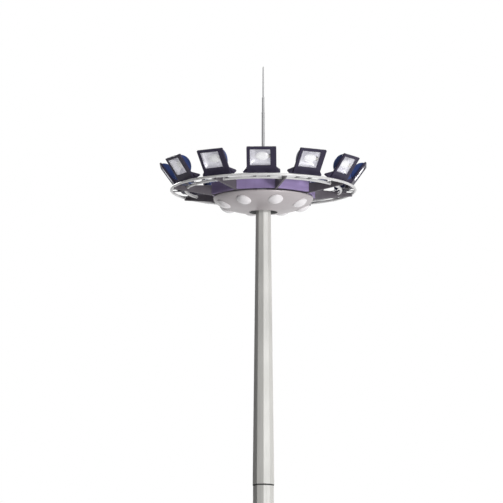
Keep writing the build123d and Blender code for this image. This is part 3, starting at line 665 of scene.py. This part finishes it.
# weld where an arm holds the outer ring
saddle = onEdge(arcOf(np.linspace(0.62 * np.pi, 1.2 * np.pi, 13), 28, x=outer))
for side in (-1, 1):
    mould.add(tube(saddle, 4, 8, (0, 1, 0)), 1, armTurns @ raised @ shift(y=side * (arms["width"] / 2 + 1)))
mould.make("radial_arm_beams", "carriage", "arm_steel", [armPaint, ringSteel], ["radial_arms"])

print("stage: drum and bowl")
drum = {"sheet": 4.0, "top": 100.0, "bottom": -122.0, "lip": 60.0, "fold": 8.0, "hem": 5.0, "rivet": 5.0,
        "rivetRise": 2.6, "rivetSeat": 1.6, "rivetSide": 26.0, "rivetEdge": 28.0, "swell": 1.2}
half = math.pi / arms["count"]
flatReach = arms["drumCorner"] * math.cos(half)
backReach, foldReach = flatReach - drum["sheet"], flatReach - drum["fold"]
hemTurn = np.linspace(0, 1.5 * np.pi, 10)
hem = arcOf(hemTurn, drum["hem"], x=flatReach - drum["hem"], y=drum["top"] - drum["hem"])
fold = arcOf(-np.linspace(0, np.pi / 2, 5), drum["fold"], x=foldReach, y=drum["bottom"] + drum["fold"])
lipEnd, lipTop = flatReach - drum["lip"], drum["bottom"] + drum["sheet"]
profile = np.array([*fold[::-1], *hem, (backReach, drum["top"] - 9),
                    (backReach, drum["bottom"] + drum["fold"]), (foldReach, lipTop), (lipEnd, lipTop),
                    (lipEnd, drum["bottom"])])
along = np.linspace(-1, 1, 25)
reach = profile[:, 0] * math.tan(half) - (arms["width"] / 2 + 0.5) / math.cos(half)
belowHem = profile[:, 1] < drum["top"] - 3 * drum["hem"]  # there the sheet stands out a little at mid span
swell = drum["swell"] * np.cos(along * np.pi / 2)[:, None] * belowHem - drum["swell"]
height = np.broadcast_to(profile[:, 1], (len(along), len(profile)))
panel = np.stack([profile[:, 0] + swell, along[:, None] * reach, height], -1)
panelTurns = around(arms["count"], arms["angle"] + 180 / arms["count"])
rows = np.linspace(drum["bottom"] + drum["rivetEdge"], drum["top"] - drum["rivetEdge"], 5)
rivetPlaces = [(side * (reach.max() - drum["rivetSide"]), height) for side in (-1, 1) for height in rows]
rivets = np.stack([shift(flatReach - drum["rivetSeat"], *place) @ spin("y", 90) for place in rivetPlaces])
mould = Mould().add(skin(panel), 0, panelTurns @ raised)
mould.add(ball(drum["rivet"], drum["rivetRise"]), 1, panelTurns[:, None] @ raised @ rivets)
mould.make("drum_panels", "carriage", "drum_paint", [drumPaint, boltZinc], ["octagonal_drum"])

bowl = {"radius": 950.0, "rim": -154.0, "depth": 287.0, "sheet": 5.0, "rimWidth": 45.0, "mouth": 274.6,
        "bead": 4.0}
radius, rim, sheet = bowl["radius"], bowl["rim"], bowl["sheet"]
fall = -np.linspace(0, math.acos(bowl["mouth"] / radius), 60)
outside = arcOf(fall, radius, bowl["depth"], y=rim)
inside = arcOf(fall, radius - sheet, bowl["depth"] - sheet, y=rim)[::-1]
rimBead = arcOf(np.linspace(0.35 * np.pi, -0.5 * np.pi, 7), sheet, x=radius - sheet, y=rim - sheet)
rimEnd = radius - bowl["rimWidth"]
profile = [(rimEnd, rim), *rimBead, *outside[2:], *inside[:-2], (rimEnd, rim - sheet)]
beadTurn = np.linspace(0, 2 * np.pi, 9)[:-1]
mouthBead = arcOf(beadTurn, bowl["bead"], x=bowl["mouth"] + bowl["bead"], y=outside[-1][1] + 1)
mould = Mould().add(turned(profile, 160, loop=True), 0, raised)
mould.add(turned(mouthBead, 96, loop=True), 0, raised)
mould.make("bowl_spun", "carriage", "bowl_paint", [bowlPaint], ["bowl"])

lens = {"count": 8, "angle": 17.0, "place": 790.0, "radius": 143.0, "bulge": 58.0, "skirt": 30.0}
share = lens["place"] / bowl["radius"]
sink = math.sqrt(1 - share ** 2)
slope = math.degrees(math.atan2(lens["place"] / bowl["radius"] ** 2, sink / bowl["depth"]))
lensPlace = shift(lens["place"], 0, bowl["rim"] - bowl["depth"] * sink) @ spin("y", 180 - slope)
ballRadius = (lens["radius"] ** 2 + lens["bulge"] ** 2) / (2 * lens["bulge"])
climb = np.linspace(math.asin(lens["radius"] / ballRadius), 0.02, 16)
dome = np.column_stack([ballRadius * np.sin(climb), lens["bulge"] - ballRadius + ballRadius * np.cos(climb)])
skirt = [(lens["radius"] - 4, -lens["skirt"]), (lens["radius"], -lens["skirt"]), (lens["radius"], -1)]
lensTurns = around(lens["count"], lens["angle"]) @ raised @ lensPlace
Mould().add(turned([*skirt, *dome], 64), 0, lensTurns).make(
    "lens_domes", "carriage", "lens_acrylic", [lensOpal], ["bowl_lenses"], crease=50)

paintNode("guide_collar", zincSteel)
paintNode("roller_carriers", zincSteel)
collar = {"boltCircle": 316.0, "bolts": 20, "boltTurn": 28.0, "bolt": (19, 12)}
boltPlace = shift(collar["boltCircle"], 0, boxOf("guide_collar")[1][2])
boltTurns = around(collar["bolts"], collar["boltTurn"])
Mould().add(hexBolt(*collar["bolt"]), 0, boltTurns @ boltPlace).make(
    "collar_bolts", "carriage", "zinc_steel", [boltZinc])

roller = {"radius": 40.0, "length": 56.0, "bore": 9.0, "place": 298.0, "height": -300.0, "count": 5}
rim, half = roller["radius"], roller["length"] / 2
profile = bothWays([(roller["bore"], -half), (rim - 10, -half), (rim - 4, 1 - half), (rim - 1, 7 - half),
                    (rim, -6)])
rollerPlace = shift(roller["place"], 0, roller["height"]) @ spin("x", 90)
rollers = around(roller["count"], faceTurn) @ raised @ rollerPlace
Mould().add(turned(profile, 40, loop=True), 0, rollers).make(
    "guide_roller_wheels", "carriage", "roller_rubber", [darkRubber], ["guide_rollers"])

socket = {"foot": 20.0, "ropeFrom": 20.0,
          "profile": [(18, 0), (18, 6), (14, 10), (13, 46), (10, 56), (6.4, 60)]}
ropeHeights = np.linspace(socket["foot"] + socket["ropeFrom"], head["pulleyHeight"] - 0.3, 34)
straight = np.column_stack([np.zeros(34), np.zeros(34), ropeHeights])
barrel = moved(turned(socket["profile"], 24), shift(z=socket["foot"]))
ropeTurns = around(3, head["pulleyAngle"]) @ raised @ shift(head["ropeOut"])
Mould().add(stranded(straight, head["rope"]), 0, ropeTurns).add(barrel, 1, ropeTurns).make(
    "hoist_rope_sockets", "carriage", "rope_steel", [ropeSteel, boltZinc], ["hoist_rope_ends"])

print("stage: brackets")
bracket = {"earPlace": 100.0, "earThick": 8.0, "earHalf": 18.0, "rootHalf": 40.0, "strapWidth": 60.0,
           "strapThick": 8.0, "innerGap": 20.0, "outerGap": 18.0, "bolt": (17, 11), "boltEnd": 42.0,
           "boltSide": 38.0}
joints = {joint["name"]: joint for joint in frame["joints"]}
firstPin = np.array(joints["floodlight_01_tilt"]["pos_m"]) * 1000
pinReach, pinHeight, lampCount = math.hypot(*firstPin[:2]), firstPin[2] - ringPlane, 12
lampTurns = around(lampCount, math.degrees(math.atan2(firstPin[1], firstPin[0])))
strapFrom, strapTo = inner + bracket["innerGap"], outer - bracket["outerGap"]
strap = block(strapTo - strapFrom, bracket["strapWidth"], bracket["strapThick"], 1.5)
strap = moved(strap, shift((strapFrom + strapTo) / 2, bracket["earPlace"] + bracket["strapWidth"] / 2, 0))
root, tip, foot = bracket["rootHalf"], bracket["earHalf"], bracket["strapThick"] / 2
neck, eyeLow = 2 * foot + 3, pinHeight - tip
eye = arcOf(np.linspace(0, np.pi, 13), tip, y=pinHeight)
earOutline = [(-root, foot), (root, foot), (root, neck), (tip, eyeLow), *eye, (-tip, eyeLow), (-root, neck)]
ear = plate(np.array(earOutline) + (pinReach, 0), 0, bracket["earThick"], 1.2)
ear = moved(moved(ear, spin("x", 90)), shift(y=bracket["earPlace"] + bracket["earThick"]))
mould = Mould()
for side in (1, -1):
    flip = np.diag([1, side, 1, 1.0])
    mould.add(moved(strap, flip), 0, lampTurns @ raised).add(moved(ear, flip), 0, lampTurns @ raised)
    for place in (strapFrom + bracket["boltEnd"], strapTo - bracket["boltEnd"]):
        boltPlace = shift(place, side * (bracket["earPlace"] + bracket["boltSide"]), foot)
        mould.add(hexBolt(*bracket["bolt"]), 1, lampTurns @ raised @ boltPlace)
mould.make("bracket_straps_and_ears", "carriage", "zinc_steel", [darkZinc, boltZinc], ["floodlight_brackets"])

print("stage: floodlights")
lamp = {
    "tilt": 36.0, "lift": 5.0, "face": 70.0, "width": 560.0, "height": 537.0, "depth": 35.0, "corner": 16.0,
    "edge": 5.0, "skin": 6.0, "groove": 40.0, "grooveDeep": 1.6, "trim": 15.0,
    "windowWidth": 390.0, "windowHeight": 332.0, "windowTop": 50.0, "windowShift": -25.0, "windowCorner": 9.0,
    "backWidth": 480.0, "backRadius": 215.0, "backDepth": 158.0, "backWall": 6.0, "backEnd": 3.0,
    "ribs": 11, "ribRise": 5.0,
    "footTopHalf": 255.0, "footHalf": 350.0, "footRear": -58.0, "footNeck": 22.0, "footBottom": -10.0,
    "shoulder": 20.0, "slotTop": 24.0, "slotFrom": 95.0, "slotTo": 113.0,
    "lidWidth": 430.0, "lidHeight": 96.0, "lidThick": 4.0, "lidScrewSide": 200.0, "lidScrewRise": 38.0,
    "lidScrew": (9, 6), "screwSide": 36.0, "screwLow": 40.0, "screwHigh": 34.0,
    "dishFrom": 57.0, "dishDeep": 101.0, "dishWall": 1.5,
    "bulbAlong": 128.0, "bulbUp": 84.0, "bulbDeep": 44.0, "bulbShift": 14.0, "bulbPlace": 6.0,
    "catchSide": 228.0, "hingeSide": 170.0,
}
frontX, backX, skinBack = lamp["face"], lamp["face"] - lamp["depth"], lamp["face"] - lamp["skin"]
frameTop, frameMiddle = lamp["lift"] + lamp["height"], lamp["lift"] + lamp["height"] / 2
windowMiddle = frameTop - lamp["windowTop"] - lamp["windowHeight"] / 2
backCentre = lamp["face"] - lamp["backDepth"] + lamp["backRadius"]
backMiddle = frameTop - lamp["skin"] - math.sqrt(lamp["backRadius"] ** 2 - (backCentre - skinBack) ** 2)
footTop = backMiddle - math.sqrt(lamp["backRadius"] ** 2 - (backCentre - backX) ** 2)


def faceLoop(width, height, radius, x, y=0.0, z=frameMiddle):  # rounded rectangle parallel to the face
    return faced(rectangle(width, height, radius, 5, y, z), x)


def rimLoop(inset, tighter, x):  # the frame's outline, its width and height less by an inset
    return faceLoop(lamp["width"] - inset, lamp["height"] - inset, lamp["corner"] - tighter, x)


def windowLoop(grow, x, wider=0.0):  # the window's outline, its width and height more by what it grows
    size = lamp["windowWidth"] + grow, lamp["windowHeight"] + grow, lamp["windowCorner"] + wider
    return faceLoop(*size, x, lamp["windowShift"], windowMiddle)


def framePlate():
    # from the rim's back edge out to the front, in over a groove to the window, then back behind the skin
    edge, groove, trim, sunk = lamp["edge"], lamp["groove"], 2 * lamp["trim"], frontX - lamp["grooveDeep"]
    rim = [(2, 1, backX), (0, 0, backX + 1)]
    rim += [(2 * edge * (1 - math.cos(t)), 0, frontX - edge + edge * math.sin(t))
            for t in np.linspace(0, np.pi / 2, 4)]
    rim += [(groove, 4, frontX), (groove + 3, 5, sunk), (groove + 9, 6, sunk)]
    window = [(trim + 5, frontX - 1.8), (trim + 2, frontX - 0.6), (trim - 2, frontX), (5, frontX),
              (1.5, frontX - 0.8), (0, frontX - 2.5), (0, skinBack + 0.2)]
    loops = [rimLoop(*values) for values in rim] + [windowLoop(grow, x, grow / 3) for grow, x in window]
    loops += [windowLoop(14, skinBack), rimLoop(12, 6, skinBack), rimLoop(12, 6, backX)]
    return skin(loops, loop=True)


def backCover():
    # part of a barrel across the lamp: its radius rises and falls over the ribs and draws in at both ends
    halfWidth = lamp["backWidth"] / 2
    across = np.linspace(-halfWidth, halfWidth, 121)
    across = np.unique(np.concatenate([across, [-halfWidth + 2.5, halfWidth - 2.5]]))
    edge = np.clip((halfWidth - np.abs(across)) / 16, 0, 1)
    drawn = 16 * (1 - np.sqrt(1 - (1 - edge) ** 2))
    wave = np.cos(across / (lamp["backWidth"] - 40) * lamp["ribs"] * 2 * np.pi)
    ribs = lamp["ribRise"] * np.clip((0.55 - wave) * 3, 0, 1) * np.clip(edge * 3 - 1.5, 0, 1)
    curve = lamp["backRadius"] - drawn - ribs
    share = np.linspace(-1, 1, 41)

    def arc(curve):  # from the lower to the upper end of the arc behind the lamp's skin
        start = np.arccos(np.clip((backCentre - skinBack) / curve, -1, 1))
        turn = share[None] * start[:, None]
        return backCentre - curve[:, None] * np.cos(turn), backMiddle + curve[:, None] * np.sin(turn)

    (x, z), (innerX, innerZ) = arc(curve), arc(curve - lamp["backWall"])
    closed = np.abs(across)[:, None] > halfWidth - lamp["backEnd"]  # full at both ends, hollow between them
    innerX = np.where(closed, skinBack, innerX)
    x, z = np.concatenate([x, innerX[:, ::-1]], 1), np.concatenate([z, innerZ[:, ::-1]], 1)
    return skin(np.stack([x, np.broadcast_to(across[:, None], x.shape), z], -1))


def footBox():  # its depth and width change in straight lines with height; the ears' slots stay open below
    def level(z, inset=0.0, low=-math.inf, high=math.inf):
        heights = [lamp["shoulder"], footTop]
        rear = np.interp(z, heights, [lamp["footRear"], lamp["footNeck"]]) + inset
        halfWide = np.interp(z, heights, [lamp["footHalf"], lamp["footTopHalf"]]) - inset
        low, high = max(low, -halfWide), min(high, halfWide)
        front = backX + 6 - min(inset, 3)
        return lifted(rectangle(front - rear, high - low, 7.0, 3, (front + rear) / 2, (high + low) / 2), z)

    bottom, slotTop, slotFrom, slotTo = lamp["footBottom"], lamp["slotTop"], lamp["slotFrom"], lamp["slotTo"]
    shapes = [skin([level(z) for z in (slotTop, 60, 110, footTop - 1, footTop + 6)])]
    for low, high in ((-math.inf, -slotTo), (-slotFrom, slotFrom), (slotTo, math.inf)):
        steps = ((bottom, 12), (bottom + 3.5, 3.5), (bottom + 12, 0), (slotTop + 1, 0))
        shapes.append(skin([level(z, inset, low, high) for z, inset in steps]))
    return joined(*shapes)


def lidPlate():  # cover of the gear box, on its rear slope
    slopeTurn = math.degrees(math.atan2(lamp["footNeck"] - lamp["footRear"], footTop - lamp["shoulder"]))
    middle = shift((lamp["footRear"] + lamp["footNeck"]) / 2 - 1, 0, (lamp["shoulder"] + footTop) / 2)
    place = middle @ spin("y", slopeTurn) @ spin("y", -90) @ spin("z", 90)
    lid = plate(rectangle(lamp["lidWidth"], lamp["lidHeight"], 10), 0, lamp["lidThick"], 1.2)
    side, rise = lamp["lidScrewSide"], lamp["lidScrewRise"]
    screws = [place @ shift(x, y, lamp["lidThick"]) for x in (-side, 0, side) for y in (-rise, rise)]
    return moved(lid, place), np.stack(screws)


def reflectorShell():
    # dish from the window's edge back to a smaller flat: for d from 0 to 1, its size is the window's times
    # 1 - 0.42 d^2.2, and it lies at d^0.9 of its whole depth
    loops = []
    for d in np.linspace(0, 1, 12):
        size = 1 - 0.42 * d ** 2.2
        wide, high = (lamp["windowWidth"] + 8) * size, (lamp["windowHeight"] + 8) * size
        x = lamp["dishFrom"] - lamp["dishDeep"] * d ** 0.9
        loops.append(faceLoop(wide, high, 14 + 26 * d, x, lamp["windowShift"], windowMiddle))
    return skin([loop - (lamp["dishWall"], 0, 0) for loop in reversed(loops)] + loops)


def bulb():
    # egg shape lying across the lamp, drawn out to a tip at one end and to a neck at the other
    along = np.linspace(-1, 1, 40)
    swell = np.sqrt(np.clip(1 - np.abs(along) ** 2.1, 0, 1))
    tip = np.exp(-((along + 1.0) / 0.07) ** 2) * 0.07
    neck = np.where(along > 0.55, 0.30, 0.0)
    radius = np.maximum(swell + tip, neck)
    radius[0] = 0.01
    angle = np.arange(40) * 2 * np.pi / 40
    x = lamp["bulbPlace"] + lamp["bulbDeep"] * radius[:, None] * np.cos(angle)
    z = windowMiddle + lamp["bulbUp"] * radius[:, None] * np.sin(angle)
    y = lamp["bulbShift"] + lamp["bulbAlong"] * np.broadcast_to(along[:, None], x.shape)
    return skin(np.stack([x, y, z], -1))


lampX = shift(lamp["bulbPlace"], lamp["bulbShift"] + lamp["bulbAlong"] - 8, windowMiddle) @ spin("x", -90)
holder = turned([(27, 0), (30, 3), (30, 26), (34, 28), (34, 40), (30, 44), (24, 44)], 32)
clip = block(26, 9, 30, 2)
clips = np.stack([lampX @ shift(0, side * 30, 22) for side in (-1, 1)])
gasketLine = ((4, 0.1), (4, 2.4), (-5, 2.4), (-7, 1.4), (-7, 0.1))
gasket = skin([windowLoop(grow, skinBack + out) for grow, out in gasketLine], loop=True)
screwFlat = turned([(6.5, 0), (6.5, 2), (5.2, 3.4), (3.2, 3.4), (3.0, 1.6), (0.6, 1.6)], 14)
screwSide = lamp["width"] / 2 - lamp["screwSide"]
screwHeights = lamp["lift"] + lamp["screwLow"], frameMiddle, frameTop - lamp["screwHigh"]
faceScrews = np.stack([shift(frontX - 1.8, side * screwSide, z) @ upright
                       for side in (-1, 1) for z in screwHeights])
handle = moved(tube([(0, -20, 8), (0, 20, 8)], 5, 12, (0, 0, 1)), shift(14, 0, 2))
catch = joined(moved(block(30, 46, 12, 2.5), shift(0, 0, 6)), handle)
catchTurn = spin("x", 180) @ spin("z", 90)
catches = np.stack([shift(frontX - 20, side * lamp["catchSide"], lamp["lift"] + 1) @ catchTurn
                    for side in (-1, 1)])
lid, lidScrews = lidPlate()
hinges = np.stack([shift(backX + 12, side * lamp["hingeSide"], frameTop - 6) for side in (-1, 1)])
hingeBarrel = moved(turned([(6, -34), (7, -33), (7, 33), (6, 34)], 14), spin("x", 90))
pin = moved(turned([(8, -9.5), (8, 9.5)], 16), spin("x", 90))
pins = np.stack([shift(0, side * (lamp["slotFrom"] + lamp["slotTo"]) / 2, 0) for side in (-1, 1)])
frontShape, backShape, footShape = framePlate(), backCover(), footBox()
reflectorShape, bulbShape = reflectorShell(), bulb()
for number in range(lampCount):
    body = f"floodlight_{number + 1:02d}"
    spot = np.array(joints[body + "_tilt"]["pos_m"]) * 1000
    home = shift(*spot) @ spin("z", math.degrees(math.atan2(spot[1], spot[0]))) @ spin("y", lamp["tilt"])
    mould = Mould().add(frontShape, 0, home).add(footShape, 0, home).add(backShape, 1, home).add(lid, 0, home)
    mould.make(body + "_case", body, "lamp_paint", [panelPaint, coverPaint], [body + "_housing"])
    mould = Mould().add(gasket, 1, home).add(screwFlat, 2, home @ faceScrews)
    mould.add(hexBolt(*lamp["lidScrew"]), 0, home @ lidScrews)
    mould.add(catch, 0, home @ catches).add(hingeBarrel, 0, home @ hinges).add(pin, 0, home @ pins)
    mould.make(body + "_fittings", body, "zinc_steel", [boltZinc, darkRubber, panelPaint])
    mould = Mould().add(reflectorShape, 0, home).add(bulbShape, 1, home).add(holder, 2, home @ lampX)
    mould.add(clip, 3, home @ clips)
    mould.make(body + "_optics", body, "lamp_glass", [reflectorSatin, bulbOpal, ceramic, darkRubber])
    paintNode(body + "_glass", glassPane)

print("stage: floor, light and camera")
stage = {
    "floorRadius": 8.0, "haze": 0.8, "dim": 0.02, "narrow": 5.0, "lowSoft": 2.7,
    "lowFrom": (0.34, -0.12, -0.93), "highSoft": 0.5, "highFrom": (0.34, -0.1, 0.93), "sunWidth": 8.0,
    "suns": [("keySun", 1.1, 33.0, -9.0), ("sideSun", 0.75, 38.0, 6.0), ("highSun", 0.9, 34.0, 60.0),
             ("backSun", 1.5, 207.0, 24.0)],
}
floorMesh = bpy.data.meshes.new("floor")
floorEdge = lifted(arcOf(np.arange(96) * 2 * np.pi / 96, stage["floorRadius"]), 0.0)
floorMesh.from_pydata(floorEdge, [], [list(range(96))])
floor = bpy.data.objects.new("floor", floorMesh)
bpy.context.collection.objects.link(floor)


def seenWhite(nodes, links):  # 1 for what the camera, a mirror or a glass shows, 0 for what only lights
    path = nodes.new("ShaderNodeLightPath")
    last = path.outputs["Is Camera Ray"]
    for kind in ("Is Glossy Ray", "Is Transmission Ray"):
        higher = nodes.new("ShaderNodeMath")
        higher.operation = "MAXIMUM"
        links.new(last, higher.inputs[0])
        links.new(path.outputs[kind], higher.inputs[1])
        last = higher.outputs[0]
    return last


floorFinish = Finish("floorFinish", Base_Color=paints["floor"], Roughness=0.9)
white = floorFinish.node("Emission", {"Color": (1, 1, 1, 1), "Strength": 1.0})
seen = Wire(floorFinish, seenWhite(floorFinish.tree.nodes, floorFinish.tree.links))
plain = Wire(floorFinish, floorFinish.shader.outputs[0])
surface = floorFinish.node("MixShader", {0: seen * stage["haze"], 1: plain, 2: white})
floorFinish.tree.links.new(surface.socket, floorFinish.tree.nodes["Material Output"].inputs["Surface"])
floorMesh.materials.append(floorFinish.material)

world = bpy.data.worlds.new("studio")
world.use_nodes = True
bpy.context.scene.world = world
nodes, links = world.node_tree.nodes, world.node_tree.links
nodes.clear()


def skyMaths(operation, *values):
    made = nodes.new("ShaderNodeMath")
    made.operation = operation
    for entry, value in zip(made.inputs, values):
        if isinstance(value, float):
            entry.default_value = value
        else:
            links.new(value, entry)
    return made.outputs[0]


def lobe(direction, strength):
    # strength times a power of the cosine to a direction, and nothing on its far side
    dot = nodes.new("ShaderNodeVectorMath")
    dot.operation = "DOT_PRODUCT"
    links.new(nodes.new("ShaderNodeTexCoord").outputs["Generated"], dot.inputs[0])
    dot.inputs[1].default_value = direction
    near = skyMaths("MAXIMUM", dot.outputs["Value"], 0.0)
    return skyMaths("MULTIPLY", skyMaths("POWER", near, stage["narrow"]), strength)


plainSky, softSky = nodes.new("ShaderNodeBackground"), nodes.new("ShaderNodeBackground")
pick, output = nodes.new("ShaderNodeMixShader"), nodes.new("ShaderNodeOutputWorld")
plainSky.inputs["Color"].default_value, plainSky.inputs["Strength"].default_value = (1, 1, 1, 1), 1.0
softSky.inputs["Color"].default_value = (0.97, 0.97, 1, 1)
lobes = skyMaths("ADD", lobe(stage["lowFrom"], stage["lowSoft"]), lobe(stage["highFrom"], stage["highSoft"]))
links.new(skyMaths("ADD", lobes, stage["dim"]), softSky.inputs["Strength"])
links.new(seenWhite(nodes, links), pick.inputs[0])
links.new(softSky.outputs[0], pick.inputs[1])
links.new(plainSky.outputs[0], pick.inputs[2])
links.new(pick.outputs[0], output.inputs["Surface"])


def sunLamp(name, strength, turn, rise, width):
    # turn is to the right of the camera's direction, rise is above the horizon
    light = bpy.data.lights.new(name, "SUN")
    light.energy, light.angle = strength, math.radians(width)
    lampObject = bpy.data.objects.new(name, light)
    lampObject.rotation_euler = (math.radians(90 - rise), 0, math.radians(turn))
    bpy.context.collection.objects.link(lampObject)


for name, strength, turn, rise in stage["suns"]:
    sunLamp(name, strength, turn, rise, stage["sunWidth"])

view = {"distance": 100.0, "drop": 9.2, "lens": 376.7, "side": -0.224, "below": 1.184}
camera = bpy.data.cameras.new("camera")
camera.lens, camera.sensor_width, camera.clip_end = view["lens"], 36.0, 1000.0
cameraObject = bpy.data.objects.new("camera", camera)
drop = math.radians(view["drop"])
height = ringPlane / 1000 - view["below"] - view["distance"] * math.sin(drop)
cameraObject.location = (view["side"], -view["distance"] * math.cos(drop), height)
cameraObject.rotation_euler = (math.radians(90 + view["drop"]), 0, 0)
bpy.context.collection.objects.link(cameraObject)
bpy.context.scene.camera = cameraObject
bpy.context.scene.view_settings.view_transform = "Standard"
